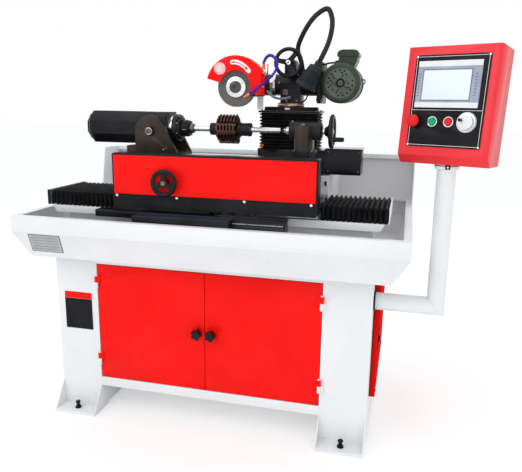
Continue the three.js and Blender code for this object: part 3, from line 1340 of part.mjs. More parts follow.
// The loop around the two pulleys, grown by an amount. Both lower tangents lie level.
function beltOutline(grow) {
  const small = PULLEY_RADIUS + grow;
  const large = DRIVE_PULLEY_RADIUS + grow;
  const run = MOTOR_X - WHEEL_X;
  const upper = THREE.MathUtils.radToDeg(Math.PI / 2 + 2 * Math.atan2(MOTOR_RISE, run));
  return [
    ...arc([WHEEL_X, WHEEL_Z], small, upper, 270, 8),
    ...arc([MOTOR_X, MOTOR_Z], large, 270, 360 + upper, 14),
  ];
}

function beltDrive() {
  const beltY = about(middle(PULLEY_Y), BELT_WIDTH);
  const belt = cut(
    prism("y", beltOutline(TOUCH + BELT_THICK), beltY),
    prism("y", beltOutline(TOUCH), inset(beltY, -OVERRUN)),
  );
  piece(arm, "drive_belt", belt, 0x17171a, 0.8, 0);
  const room = TOUCH + BELT_THICK + BELT_GUARD_ROOM;
  const inside = inset(BELT_GUARD_Y, BELT_GUARD_WALL);
  const guard = cut(
    prism("y", beltOutline(room + BELT_GUARD_WALL), BELT_GUARD_Y),
    prism("y", beltOutline(room), inside),
    rod("y", [WHEEL_X, WHEEL_Z], PULLEY_RADIUS, [BELT_GUARD_Y[0] - OVERRUN, inside[0] + OVERRUN]),
    rod("y", [MOTOR_X, MOTOR_Z], ROTOR_SHAFT + RUN, [BELT_GUARD_Y[0] - OVERRUN, inside[0] + OVERRUN]),
  );
  piece(arm, "belt_guard", guard, ...RED_PAINT);
  const rotor = join(
    rod("y", [MOTOR_X, MOTOR_Z], ROTOR_SHAFT, [MOTOR_Y[1] - ROTOR_DEPTH, PULLEY_Y[1]], 12),
    rod("y", [MOTOR_X, MOTOR_Z], DRIVE_PULLEY_RADIUS, PULLEY_Y, 28),
  );
  piece(motorSpin, "motor_rotor", rotor, ...DARK_STEEL);
}

function headMotor() {
  const at = [MOTOR_X, MOTOR_Z];
  const foot = [TUBE_X[1] + 2 * TOUCH + MOUNT_THICK, MOTOR_X];
  const [front, back] = MOTOR_Y;
  const shell = MOTOR_RADIUS - MOTOR_STEP;
  const body = cut(
    join(
      turned("y", at, [
        [0, front], [MOTOR_RADIUS - MOTOR_ROUND, front], [MOTOR_RADIUS, front + MOTOR_ROUND],
        [MOTOR_RADIUS, front + MOTOR_COWL], [shell, front + MOTOR_COWL],
        [shell, back - MOTOR_STEP], [shell - MOTOR_STEP, back], [0, back],
      ], 32),
      block(foot, MOTOR_FOOT_Y, about(MOTOR_Z, MOTOR_FOOT_Z)),
      block(TERMINAL_X, TERMINAL_Y, [MOTOR_Z, MOTOR_Z + MOTOR_RADIUS + TERMINAL_HEIGHT]),
    ),
    bore("y", at, ROTOR_SHAFT, [back - ROTOR_DEPTH - OVERRUN, back + OVERRUN], 12),
  );
  piece(arm, "head_motor", body, 0x2f3a38, 0.5, 0.3);
}

// A group with its own turned frame: its pieces are built about its own origin.
function frame(parent, name, at, turn) {
  const group = pivot(parent, name, at);
  group.rotation.set(...turn);
  group.userData.at = [0, 0, 0];
  return group;
}

// Lamp: a self-holding gooseneck on the housing's tube, and its shade hanging at the end.
const SHADE_ANGLE = Math.atan2(SHADE_LEAN, SHADE_LENGTH);
const SHADE_X = 356;
const SHADE_Z = 1392;
const SHADE_AT = [SHADE_X, LAMP_Y, SHADE_Z];
const NECK_END = [
  SHADE_AT[0] + (SHADE_NECK + TOUCH) * Math.sin(SHADE_ANGLE), LAMP_Y,
  SHADE_AT[2] + (SHADE_NECK + TOUCH) * Math.cos(SHADE_ANGLE),
];
const NECK_SEAT_AT = [282, 118, 1374];
const NECK_ROUTE = [
  NECK_SEAT_AT, [276, 112, 1420], [263, 99, 1468], [283, 77, 1516], [319, 57, 1567], [355, 44, 1598],
  [388, 32, 1607], [406, 20, 1567], [406, 10, 1520], [395, 2, 1474],
  [
    NECK_END[0] + 2 * NECK_RADIUS * Math.sin(SHADE_ANGLE), LAMP_Y,
    NECK_END[2] + 2 * NECK_RADIUS * Math.cos(SHADE_ANGLE),
  ],
  NECK_END,
];

function lamp() {
  const [x, y, z] = NECK_SEAT_AT;
  const seat = rod("z", [x, y], NECK_SEAT, [z - 3 * NECK_SEAT_THICK, z + NECK_SEAT_THICK], 14);
  const tubeSkin = bore("x", TUBE, TUBE_RADIUS, TUBE_X, TUBE_SIDES);
  const neck = bentBar(NECK_ROUTE, NECK_RADIUS, 34, 8);
  piece(swivel, "lamp_arm", cut(join(neck, seat), tubeSkin), ...BLACK_PLASTIC);
  const head = frame(swivel, "lamp_head_frame", SHADE_AT, [0, SHADE_ANGLE, 0]);
  const collar = SHADE_CROWN / 2;
  const shade = turned("z", [0, 0], [
    [0, SHADE_NECK], [collar, SHADE_NECK], [collar, collar / 2], [SHADE_CROWN, 0],
    [SHADE_MOUTH, -SHADE_LENGTH], [SHADE_MOUTH - SHADE_WALL, -SHADE_LENGTH],
    [SHADE_CROWN - SHADE_WALL, -SHADE_WALL], [0, -SHADE_WALL],
  ], 20);
  piece(head, "lamp_head", shade, ...BLACK_PLASTIC);
}

// Coolant valve behind the guard, its lever, and the jointed hose round to the nozzle.
const VALVE = [169, VALVE_Y];
const VALVE_TOP = VALVE_Z + VALVE_HEIGHT;
const LEVER_Z = VALVE_Z + VALVE_BODY;
const valveTurn = pivot(arm, "valve_turn", [VALVE[0] + VALVE_BODY, VALVE_Y, LEVER_Z]);

function coolantValve() {
  const seatY = sorted(GUARD_REAR + TOUCH, VALVE_Y);
  const body = cut(
    join(
      rod("z", VALVE, VALVE_BODY, [VALVE_Z, VALVE_TOP - VALVE_BODY], 16),
      rod("z", VALVE, VALVE_NECK, [VALVE_Z + OVERRUN, VALVE_TOP], 12),
      block([VALVE[0] - VALVE_SEAT, VALVE[0] + VALVE_BODY / 2], seatY, from(VALVE_Z, VALVE_SEAT)),
    ),
    rod("z", VALVE, VALVE_BORE, [VALVE_Z - OVERRUN, VALVE_TOP + OVERRUN], 12),
  );
  piece(arm, "coolant_valve", body, 0xb59b63, 0.3, 0.9);
  const x = VALVE[0] + VALVE_BODY + TOUCH;
  const leverZ = [LEVER_Z - LEVER_WIDTH / 2, LEVER_Z + LEVER_LENGTH];
  const lever = join(
    rod("x", [VALVE_Y, LEVER_Z], VALVE_STEM, [x, x + VALVE_STEM + LEVER_THICK], 12),
    block(from(x + VALVE_STEM, LEVER_THICK), about(VALVE_Y, LEVER_WIDTH), leverZ),
  );
  piece(valveTurn, "valve_lever", lever, ...RED_PAINT);
}

const HOSE_ROUTE = [
  [VALVE[0], VALVE_Y, VALVE_TOP + TOUCH], [VALVE[0], VALVE_Y, VALVE_TOP + 3 * HOSE_RADIUS], [177, -93, 1416],
  [189, -106, 1425], [204, -124, 1427], [219, -140, 1421], [232, -152, 1408], [238, -159, 1390],
  [234, -163, 1373], [220, -165, 1352], [201, -165, 1335], [180, -165, 1318], [157, -165, 1301],
  [147, -165, 1295], [136, -165, 1288.4],
];

// One closed skin: ribs along the outside, the nozzle's cone, and the bore back to the start.
function ribbedHose(route, sides) {
  const curve = new THREE.CatmullRomCurve3(route.map((p) => new THREE.Vector3(...p)), false, "centripetal");
  const length = curve.getLength();
  const straight = 2 * HOSE_RADIUS;
  const count = Math.round((length - 2 * straight) / HOSE_RIB_PITCH);
  const stations = [[0, HOSE_RADIUS], [straight, HOSE_RADIUS]];
  for (let i = 0; i < count; i++) {
    const start = straight + (i * (length - 2 * straight)) / count;
    stations.push([start + HOSE_RIB_PITCH / 4, HOSE_RADIUS + HOSE_RIB]);
    stations.push([start + (3 * HOSE_RIB_PITCH) / 4, HOSE_RADIUS]);
  }
  const end = length + NOZZLE_LENGTH;
  stations.push([length, HOSE_RADIUS], [length, HOSE_RADIUS + HOSE_RIB], [end, NOZZLE_TIP]);
  const inner = [[end, NOZZLE_BORE], [length, HOSE_BORE]];
  for (let i = count; i > 0; i -= HOSE_BORE_STEP) {
    inner.push([straight + (i * (length - 2 * straight)) / count, HOSE_BORE]);
  }
  inner.push([0, HOSE_BORE]);
  const frames = curve.computeFrenetFrames(HOSE_FRAMES, false);
  const rings = [...stations, ...inner];
  const points = [];
  for (const [s, r] of rings) {
    const share = Math.min(s / length, 1);
    const index = Math.round(share * HOSE_FRAMES);
    const centre = curve.getPointAt(share).addScaledVector(frames.tangents[index], Math.max(s - length, 0));
    for (let k = 0; k < sides; k++) {
      const angle = (k / sides) * 2 * Math.PI;
      const corner = centre.clone().addScaledVector(frames.normals[index], r * Math.cos(angle));
      corner.addScaledVector(frames.binormals[index], r * Math.sin(angle));
      points.push(corner.x, corner.y, corner.z);
    }
  }
  const faces = [];
  rings.forEach((ring, i) => {
    const next = (i + 1) % rings.length;
    for (let k = 0; k < sides; k++) {
      const [a, b] = [i * sides + k, i * sides + ((k + 1) % sides)];
      const [c, d] = [next * sides + k, next * sides + ((k + 1) % sides)];
      faces.push(a, b, d, a, d, c);
    }
  });
  const geometry = new THREE.BufferGeometry();
  geometry.setAttribute("position", new THREE.Float32BufferAttribute(points, 3));
  geometry.setIndex(faces);
  reportLeastGap(curve, length);
  return solid(geometry);
}

// The least gap between stretches of the hose that are more than four diameters apart along it.
function reportLeastGap(curve, length) {
  const places = curve.getSpacedPoints(HOSE_SAMPLES);
  const wide = HOSE_RADIUS + HOSE_RIB;
  let least = length;
  places.forEach((p, i) => {
    places.forEach((q, j) => {
      if (((j - i) / HOSE_SAMPLES) * length > 8 * wide) least = Math.min(least, p.distanceTo(q) - 2 * wide);
    });
  });
  const found = "length " + length.toFixed(1) + " mm, least gap to itself " + least.toFixed(1) + " mm";
  console.log("coolant hose: " + found);
}

const SUPPLY_ROUTE = [
  [237, SWIVEL[1] - HEAD_BLOCK_DEPTH / 2 - 2 * TOUCH, 1281],
  [237, 92, 1281], [237, 87, 1281], [227, 77, 1278],
  [206, 72, 1275], [182, 74, 1278], [160, 83, 1289], [146, 96, 1300], [138, 106, 1304],
];

function hoses() {
  piece(arm, "coolant_hose", ribbedHose(HOSE_ROUTE, 8), 0x3a2bb0, 0.4, 0);
  piece(swivel, "supply_hose", bentBar(SUPPLY_ROUTE, SUPPLY_RADIUS, 16, 8), 0x6f7785, 0.4, 0);
}

// Pole: a level tube from the pedestal and an upright one, mitred at the elbow.
const swing = frame(
  machine, "panel_swivel", [POLE_X, POLE_Y, POLE_TOP], [0, 0, -THREE.MathUtils.degToRad(PANEL_YAW)],
);
const face = frame(
  swing, "panel_face", [PANEL_ASIDE, -PANEL_FORWARD, PANEL_LIFT],
  [-THREE.MathUtils.degToRad(PANEL_LEAN), 0, 0],
);

function pole() {
  const reach = POLE_TOP - POLE_ELBOW;
  const low = POLE_ELBOW - POLE_RADIUS;
  const corner = [POLE_X + POLE_RADIUS, low];
  const upperHalf = prism("y", [
    [corner[0] + OVERRUN, low - OVERRUN], [corner[0] + OVERRUN, POLE_TOP + OVERRUN],
    [POLE_X - reach, POLE_TOP + OVERRUN], [POLE_X - reach, POLE_ELBOW + reach],
  ], about(POLE_Y, 3 * POLE_RADIUS));
  const upright = rod("z", [POLE_X, POLE_Y], POLE_RADIUS, [low - OVERRUN, POLE_TOP - TOUCH], 18);
  const levelX = [PEDESTAL_OUTER + TOUCH, corner[0] + OVERRUN];
  const level = rod("x", [POLE_Y, POLE_ELBOW], POLE_RADIUS, levelX, 18);
  const collarZ = [POLE_TOP - COLLAR_HEIGHT, POLE_TOP - TOUCH];
  const clamp = rod("z", [POLE_X, POLE_Y], POLE_RADIUS + COLLAR_FLANGE, collarZ);
  const body = join(upright.intersect(upperHalf), level.subtract(upperHalf), clamp);
  piece(machine, "pole", body, ...WHITE_PAINT);
}

function panelBox() {
  const lean = THREE.MathUtils.degToRad(PANEL_LEAN);
  const bottomAt = (depth) => (TOUCH - PANEL_LIFT + depth * Math.sin(lean)) / Math.cos(lean);
  const x = about(0, 2 * PANEL_HALF);
  const outline = [
    [0, -PANEL_RISE], [0, PANEL_RISE], [PANEL_DEPTH, PANEL_RISE],
    [PANEL_DEPTH, bottomAt(PANEL_DEPTH)], [PANEL_BEVEL, bottomAt(PANEL_BEVEL)],
  ];
  const body = cut(
    prism("x", outline, x),
    block(inset(x, SHEET), [SHEET, PANEL_DEPTH - SHEET], about(0, 2 * (PANEL_RISE - SHEET))),
    block(about(0, 2 * (PLATE_HALF - SCREEN_LIP)), [-OVERRUN, SHEET + OVERRUN], inset(PLATE_Z, SCREEN_LIP)),
  );
  piece(face, "panel_box", body, ...RED_PAINT);
}

function controls() {
  const front = -TOUCH - PLATE_THICK;
  const at = (x) => [x, CONTROL_Z];
  const stems = { stop: [STOP_X, STOP_STEM], dial: [DIAL_X, DIAL_STEM] };
  for (const [name, x] of Object.entries(BUTTON_X)) stems[name] = [x, BUTTON_STEM];
  const through = [front - OVERRUN, OVERRUN];
  const holes = Object.values(stems).map(([x, r]) => bore("y", at(x), r, through, 12));
  const window = block(inset(SCREEN_X, SCREEN_LIP), through, inset(SCREEN_Z, SCREEN_LIP));
  const plate = cut(block(about(0, 2 * PLATE_HALF), [front, -TOUCH], PLATE_Z), window, ...holes);
  piece(face, "panel_plate", plate, ...BLACK_PAINT);
  const screenFront = front - TOUCH;
  const screenZ = inset(SCREEN_Z, SCREEN_LIP + TOUCH);
  const screen = join(
    block(SCREEN_X, [screenFront - SCREEN_BEZEL, screenFront], SCREEN_Z),
    block(inset(SCREEN_X, SCREEN_LIP + TOUCH), [screenFront - OVERRUN, SCREEN_BODY], screenZ),
  );
  piece(face, "touch_screen", screen, 0xdfe1e2, 0.4, 0);
  const headBack = front - STOP_STAND;
  const headFront = headBack - STOP_HEAD;
  const mushroom = turned("y", at(STOP_X), [
    [0, headFront], [STOP_RADIUS - STOP_ROUND, headFront], [STOP_RADIUS, headFront + STOP_ROUND],
    [STOP_RADIUS, headBack], [STOP_STEM, headBack], [STOP_STEM, STEM_DEPTH], [0, STEM_DEPTH],
  ], 20);
  piece(pushFrame("stop_mushroom", STOP_X), "stop_mushroom", mushroom, 0xc31410, 0.35, 0);
  const colours = { start_button: 0x1c8a3c, stop_button: 0xc31410 };
  for (const [name, x] of Object.entries(BUTTON_X)) {
    const capBack = front - BUTTON_STAND;
    const button = turned("y", at(x), [
      [0, capBack - BUTTON_CAP], [BUTTON_RADIUS, capBack - BUTTON_CAP], [BUTTON_RADIUS, capBack],
      [BUTTON_STEM, capBack], [BUTTON_STEM, STEM_DEPTH], [0, STEM_DEPTH],
    ], 16);
    piece(pushFrame(name, x), name, button, colours[name], 0.35, 0);
  }
  const dialBack = front - TOUCH;
  const [dialTop, dialRing] = [dialBack - DIAL_HEIGHT, dialBack - DIAL_SKIRT];
  const dial = join(
    turned("y", at(DIAL_X), [
      [0, dialTop], [DIAL_FACE, dialTop], [DIAL_FACE, dialRing],
      [DIAL_RADIUS, dialRing], [DIAL_RADIUS, dialBack],
      [DIAL_STEM, dialBack], [DIAL_STEM, STEM_DEPTH], [0, STEM_DEPTH],
    ], 24),
    rod(
      "y", [DIAL_X - DIAL_GRIP[0], CONTROL_Z + DIAL_GRIP[1]], DIAL_STEM,
      [dialTop - DIAL_HEIGHT, dialTop + RUN], 12,
    ),
  );
  piece(pushFrame("pulse_dial", DIAL_X), "pulse_dial", dial, 0xc9cbcd, 0.3, 0.6);
}

function pushFrame(name, x) {
  const group = new THREE.Group();
  group.name = name + "_pivot";
  group.userData.at = [x, 0, CONTROL_Z];
  group.position.set(x, 0, CONTROL_Z);
  face.add(group);
  return group;
}

pedestals();
cabinetShell();
door(-1, "left_door");
door(1, "right_door");
electricalDoor();
coolantTray();
splashGuard();
coolantTank();
bed();
bedApron();
tableRack();
table();
tableCover();
tableDrive();
tableBellows();
workheadBracket();
workheadBody();
workSpindle();
hob();
tailstock();
crossBase();
crossSlide();
columnBellows();
columnRam();
headHousing();
headHandwheel();
wheelArm();
grindingWheel();
wheelGuard();
beltDrive();
headMotor();
lamp();
coolantValve();
hoses();
pole();
panelBox();
controls();

// The part stands on the middle of its footprint.
const part = new THREE.Group();
part.add(machine);
const bounds = new THREE.Box3().setFromObject(machine);
const centre = bounds.getCenter(new THREE.Vector3());
machine.position.set(-centre.x, -centre.y, -bounds.min.z);

export default part;
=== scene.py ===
# Universal tool grinder: detailed pieces, materials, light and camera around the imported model.
# Lengths are in millimetres in the frame that the measurements were taken in; put() turns them into metres.
import bpy
import bmesh
import random
from itertools import product
from math import asin, atan2, cos, degrees, pi, radians, sin
from mathutils import Matrix, Vector


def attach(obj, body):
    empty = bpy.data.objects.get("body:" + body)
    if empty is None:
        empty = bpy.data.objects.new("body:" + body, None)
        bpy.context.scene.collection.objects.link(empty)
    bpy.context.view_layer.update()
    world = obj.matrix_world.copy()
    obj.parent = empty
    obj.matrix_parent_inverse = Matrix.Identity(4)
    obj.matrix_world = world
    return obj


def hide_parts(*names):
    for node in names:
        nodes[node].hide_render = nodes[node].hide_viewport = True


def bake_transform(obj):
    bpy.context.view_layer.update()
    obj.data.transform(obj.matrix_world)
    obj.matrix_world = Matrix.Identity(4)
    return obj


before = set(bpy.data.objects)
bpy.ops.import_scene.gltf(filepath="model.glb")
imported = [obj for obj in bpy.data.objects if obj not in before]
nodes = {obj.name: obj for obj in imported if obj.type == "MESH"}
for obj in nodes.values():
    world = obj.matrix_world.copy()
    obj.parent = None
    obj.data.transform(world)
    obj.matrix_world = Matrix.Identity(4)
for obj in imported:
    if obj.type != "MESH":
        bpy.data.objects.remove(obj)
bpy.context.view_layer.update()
random.seed(7)

# The middle of the model's floor in the measured frame
SHIFT = Vector((135.531, 59.35, 0))
CAMERA_PLACE = (713.7, -2273.1, 1250.6)
# Degrees that the camera is turned to the left, down and about its own line of sight
CAMERA_TURN = (14, 12.8, 0.8)
CAMERA_LENS = 39.88

# Axes that several pieces share, each as its two coordinates across it
WORK_AXIS = (-115, 1157)
TILT_AXIS = (150, 1332)
SWIVEL_AXIS = (232, 140)
GRINDING_AXIS = (78.5, 1313)
TABLE_WHEEL_AXIS = (-137, 967)
HEAD_WHEEL_AXIS = (241, 1412)
MOTOR_AXIS = (445, 1336)
VALVE_AXIS = (169, -83)
POLE_AXIS = (846, -225)

# Half the distance between the door knobs, and their height
KNOB_X, KNOB_Z = 28, 383


def put(p):
    return (Vector(p) - SHIFT) / 1000


def add_object(name, data):
    made = bpy.data.objects.new(name, data)
    bpy.context.scene.collection.objects.link(made)
    return made


# Camera
az, pitch, roll = (radians(v) for v in CAMERA_TURN)
forward = Vector((-sin(az) * cos(pitch), cos(az) * cos(pitch), -sin(pitch)))
right = Vector((cos(az), sin(az), 0))
up = right.cross(forward)
right, up = right * cos(roll) + up * sin(roll), up * cos(roll) - right * sin(roll)
data = bpy.data.cameras.new("camera")
data.sensor_fit = "HORIZONTAL"
data.lens = CAMERA_LENS
data.clip_end = 50
camera = add_object("camera", data)
turn = Matrix((right, up, -forward)).transposed().to_4x4()
camera.matrix_world = Matrix.Translation(put(CAMERA_PLACE)) @ turn
bpy.context.scene.camera = camera


# Materials
class Shader:
    """A material with its main shader, and the nodes that feed it."""

    def __init__(self, name, colour, roughness, metallic=0):
        self.material = bpy.data.materials.new(name)
        self.material.use_nodes = True
        self.material.diffuse_color = (*colour, 1)
        self.tree = self.material.node_tree
        self.main = self.tree.nodes["Principled BSDF"]
        self.colour, self.roughness = colour, roughness
        self.set("Base Color", (*colour, 1))
        self.set("Roughness", roughness)
        self.set("Metallic", metallic)
        self.place = self.node("ShaderNodeTexCoord").outputs["Object"]

    def feed(self, socket, value):
        """Link a socket to another node's output, or set it to a number or a colour."""
        if isinstance(value, bpy.types.NodeSocket):
            self.tree.links.new(value, socket)
        else:
            socket.default_value = value

    def set(self, name, value):
        self.feed(self.main.inputs[name], value)

    def node(self, kind, **values):
        """A new node; each value belongs to one of its settings or to one of its sockets."""
        made = self.tree.nodes.new(kind)
        for key, value in values.items():
            if hasattr(made, key):
                setattr(made, key, value)
            else:
                self.feed(made.inputs[key.replace("_", " ")], value)
        return made

    def math(self, operation, first, second=0.5):
        made = self.node("ShaderNodeMath", operation=operation)
        self.feed(made.inputs[0], first)
        self.feed(made.inputs[1], second)
        return made.outputs[0]

    def stretched(self, scale, spin=(0, 0, 0)):
        return self.node("ShaderNodeMapping", Scale=scale, Rotation=spin, Vector=self.place).outputs["Vector"]

    def noise(self, scale, detail=3, place=None):
        made = self.node("ShaderNodeTexNoise", Scale=scale, Detail=detail, Vector=place or self.place)
        return made.outputs["Fac"]

    def ranged(self, value, low, high, start=0, end=1):
        """The value, moved from the range start to end to the range low to high."""
        ends = {"From_Min": start, "From_Max": end, "To_Min": low, "To_Max": high}
        return self.node("ShaderNodeMapRange", Value=value, **ends).outputs["Result"]

    def mixed(self, factor, first, second):
        made = self.node("ShaderNodeMix", data_type="RGBA", Factor=factor)
        for index, value in ((6, first), (7, second)):
            self.feed(made.inputs[index], (*value, 1) if isinstance(value, tuple) else value)
        return made.outputs[2]

    def bump(self, height, strength, distance=0.001):
        made = self.node("ShaderNodeBump", Strength=strength, Distance=distance, Height=height)
        last = self.main.inputs["Normal"]
        if last.is_linked:
            self.feed(made.inputs["Normal"], last.links[0].from_socket)
        self.feed(last, made.outputs["Normal"])

    def vary(self, amount, scale, rough=0):
        """Clouds of lighter and darker colour, and of roughness."""
        clouds = self.noise(scale, 4)
        dark = tuple(c * (1 - amount) for c in self.colour)
        light = tuple(min(1, c * (1 + amount) + amount * 0.02) for c in self.colour)
        colour = self.mixed(self.ranged(clouds, 0, 1, 0.3, 0.7), dark, light)
        self.set("Base Color", colour)
        if rough:
            low, high = max(0.02, self.roughness - rough), min(1, self.roughness + rough)
            self.set("Roughness", self.ranged(clouds, low, high, 0.3, 0.7))
        return colour

    def grime(self, colour, tint, amount, scale=9):
        """Patches of another colour where a coarse noise is high."""
        patch = self.ranged(self.noise(scale, 6), 0, amount, 0.56, 0.74)
        self.set("Base Color", self.mixed(patch, colour, tint))


def paint(name, colour, roughness, peel, tint, grime, vary, shine=0.2):
    s = Shader(name, colour, roughness)
    s.grime(s.vary(vary, 5, 0.06), tint, grime)
    s.bump(s.noise(420, 2), peel, 0.0006)
    s.set("Specular IOR Level", shine)
    s.set("Coat Weight", 0.02)
    s.set("Coat Roughness", 0.12)
    return s.material


def metal(name, colour, roughness, grain, vary, tint=None, grime=0, strength=0.12):
    s = Shader(name, colour, roughness, 1)
    lines = s.noise(60, 5, s.stretched(grain))
    base = s.vary(vary, 22)
    if grime:
        s.grime(base, tint, grime, 30)
    s.set("Roughness", s.ranged(lines, max(0.04, roughness - 0.1), roughness + 0.12, 0.3, 0.7))
    s.bump(lines, strength, 0.0004)
    return s.material


def cast(name, colour, roughness, metallic, strength=0.35, vary=0.2):
    s = Shader(name, colour, roughness, metallic)
    s.vary(vary, 14, 0.1)
    s.bump(s.noise(260, 4), strength, 0.0012)
    s.set("Specular IOR Level", 0.15)
    return s.material


def plastic(name, colour, roughness, strength, vary):
    s = Shader(name, colour, roughness)
    s.vary(vary, 18, 0.07)
    s.set("Specular IOR Level", 0.16)
    s.bump(s.noise(900, 2), strength, 0.0004)
    return s.material


def cloth(name, colour):
    """Coated bellows cloth: a fine crossed weave with worn folds."""
    s = Shader(name, colour, 0.55)
    s.grime(s.vary(0.35, 30, 0.12), (0.022, 0.022, 0.024), 0.5, 24)
    for spin in ((0, 0, 0), (0, pi / 2, 0)):
        wave = s.node("ShaderNodeTexWave", Scale=420, Distortion=0.6, Vector=s.stretched((1, 1, 1), spin))
        s.bump(wave.outputs["Fac"], 0.12, 0.0004)
    s.set("Specular IOR Level", 0.06)
    s.set("Sheen Weight", 0.01)
    return s.material


def grains(name, colour, other):
    """Bonded grit: cells of two colours, rough all over."""
    s = Shader(name, colour, 0.95)
    cells = s.node("ShaderNodeTexVoronoi", Scale=520, Vector=s.place)
    s.set("Base Color", s.mixed(s.ranged(cells.outputs["Color"], 0, 1, 0.2, 0.8), colour, other))
    s.bump(cells.outputs["Distance"], 0.8, 0.001)
    return s.material


def graduated(name, colour, ink, centre, axis, count):
    """Metal with fine marks all round an axis; centre is a point of it."""
    s = Shader(name, colour, 0.3, 1)
    base = s.vary(0.08, 30, 0.05)
    moved = s.node("ShaderNodeVectorMath", operation="SUBTRACT")
    s.feed(moved.inputs[0], s.place)
    s.feed(moved.inputs[1], put(centre))
    split = s.node("ShaderNodeSeparateXYZ", Vector=moved.outputs["Vector"])
    first, second = (split.outputs[letter] for letter in "XYZ" if letter != axis)
    marks = s.math("SINE", s.math("MULTIPLY", s.math("ARCTAN2", first, second), count))
    s.set("Base Color", s.mixed(s.ranged(marks, 0, 1, 0.82, 0.95), base, ink))
    s.bump(s.noise(500), 0.05, 0.0004)
    return s.material


WHITE = paint("white paint", (0.715, 0.735, 0.745), 0.33, 0.05, (0.62, 0.62, 0.58), 0.12, 0.03)
RED = paint("red paint", (0.82, 0.006, 0.004), 0.28, 0.05, (0.62, 0.006, 0.004), 0.2, 0.05, 0.08)
# The side door's red is a darker, duller copy of the red paint: painted shade on the door's side face
SHADED_SIDE_RED = paint("side door red", (0.66, 0.006, 0.004), 0.5, 0.05, (0.5, 0.006, 0.004), 0.2, 0.05, 0)
BLACK = paint("black paint", (0.006, 0.006, 0.009), 0.2, 0.07, (0.016, 0.017, 0.022), 0.4, 0.3, 0.16)
# Blue-black for the top of the black drive cover: painted sheen on its top face
BLUE_SHEEN_PAINT = paint("blue-black paint", (0.026, 0.029, 0.055), 0.4, 0.08, (0.04, 0.045, 0.07), 0.4, 0.3, 0.12)
SATIN = paint("satin black paint", (0.007, 0.007, 0.009), 0.36, 0.1, (0.018, 0.018, 0.02), 0.3, 0.3, 0.1)
IRON = cast("dark iron", (0.016, 0.016, 0.019), 0.38, 0.2)
BROWN_IRON = cast("brown iron", (0.04, 0.028, 0.023), 0.4, 0.35, 0.2)
TABLE_METAL = metal("ground iron", (0.28, 0.28, 0.29), 0.28, (1, 14, 1), 0.15, (0.16, 0.13, 0.11), 0.4)
STEEL = metal("bright steel", (0.68, 0.69, 0.7), 0.2, (1, 12, 12), 0.08)
OILED_STEEL = metal("oiled steel", (0.02, 0.019, 0.018), 0.36, (1, 12, 12), 0.25)
DARK_STEEL = metal("dark steel", (0.16, 0.14, 0.125), 0.3, (1, 12, 12), 0.2, (0.3, 0.24, 0.2), 0.5)
HUB_STEEL = metal("hub steel", (0.075, 0.075, 0.076), 0.34, (1, 12, 12), 0.2)
CHROME = metal("chrome", (0.8, 0.81, 0.83), 0.09, (1, 1, 1), 0.04, strength=0.02)
BRASS = metal("brass", (0.62, 0.42, 0.16), 0.22, (8, 8, 1), 0.1)
CUTTER = metal("cutter steel", (0.105, 0.058, 0.043), 0.36, (1, 10, 10), 0.25, (0.2, 0.13, 0.1), 0.5)
ALUMINIUM = metal("satin aluminium", (0.72, 0.73, 0.75), 0.3, (1, 1, 10), 0.06)
PLASTIC = plastic("black plastic", (0.006, 0.006, 0.007), 0.24, 0.1, 0.3)
SOFT_PLASTIC = plastic("grey-black plastic", (0.013, 0.016, 0.022), 0.4, 0.15, 0.25)
CABLE = plastic("cable", (0.016, 0.016, 0.018), 0.5, 0.25, 0.3)
BELLOWS = cloth("bellows cloth", (0.0055, 0.0055, 0.0065))
MOTOR_PAINT = cast("motor paint", (0.04, 0.052, 0.036), 0.34, 0.1, 0.1, 0.15)
ABRASIVE = grains("bonded grit", (0.075, 0.069, 0.064), (0.17, 0.155, 0.142))
VIOLET = plastic("violet hose", (0.035, 0.012, 0.32), 0.25, 0.05, 0.2)
ORANGE = plastic("orange fitting", (0.85, 0.2, 0.03), 0.3, 0.06, 0.1)
GREY_HOSE = plastic("grey hose", (0.21, 0.24, 0.3), 0.4, 0.1, 0.15)
BELT = plastic("drive belt", (0.02, 0.02, 0.02), 0.8, 0.4, 0.3)
LIGHT_PLASTIC = plastic("screen frame", (0.7, 0.71, 0.72), 0.35, 0.05, 0.03)
RED_CAP = plastic("red cap", (0.62, 0.012, 0.01), 0.22, 0.04, 0.08)
GREEN_CAP = plastic("green cap", (0, 0.34, 0.15), 0.22, 0.04, 0.08)
PLATE_GREY = metal("bare plate", (0.42, 0.43, 0.44), 0.36, (1, 14, 1), 0.1)
DECAL = plastic("white mark", (0.78, 0.79, 0.8), 0.35, 0.03, 0.03)
SCALE = graduated("swivel scale", (0.5, 0.36, 0.25), (0.1, 0.06, 0.04), (*SWIVEL_AXIS, 1250), "Z", 72)
TILT_SCALE = graduated("tilt scale", (0.72, 0.73, 0.75), (0.1, 0.1, 0.11), (158, *TILT_AXIS), "X", 60)
# A lighter, pinkish copy of the red paint for the panel box: painted sheen
PANEL_SHEEN_RED = paint("panel red", (0.74, 0.03, 0.04), 0.22, 0.05, (0.55, 0.02, 0.03), 0.2, 0.05)
TOOTH_FACE = metal("ground tooth face", (0.34, 0.24, 0.18), 0.25, (1, 10, 10), 0.2)
FAN_COVER = cast("fan cover", (0.085, 0.105, 0.085), 0.36, 0.2, 0.12, 0.25)
SCREEN_SIDE = plastic("screen side", (0.3, 0.34, 0.42), 0.35, 0.06, 0.15)
SCREEN_EDGE = plastic("screen edge", (0.16, 0.19, 0.25), 0.3, 0.05, 0.15)

s = Shader("screen surface", (0.6, 0.66, 0.76), 0.14)
s.vary(0.1, 3, 0.03)
s.bump(s.noise(700), 0.02, 0.0002)
s.set("Coat Weight", 0.6)
GLASS = s.material


# Mesh making
AXES = {"x": (1, 2, 0), "y": (0, 2, 1), "z": (0, 1, 2)}


def spot(axis, a, b, s):
    """The point at (a, b) across an axis and s along it."""
    point = [0, 0, 0]
    for index, value in zip(AXES[axis], (a, b, s)):
        point[index] = value
    return Vector(point)


def arc(x, y, radius, start, end, steps):
    angles = [radians(start + (end - start) * i / steps) for i in range(steps + 1)]
    return [(x + radius * cos(a), y + radius * sin(a)) for a in angles]


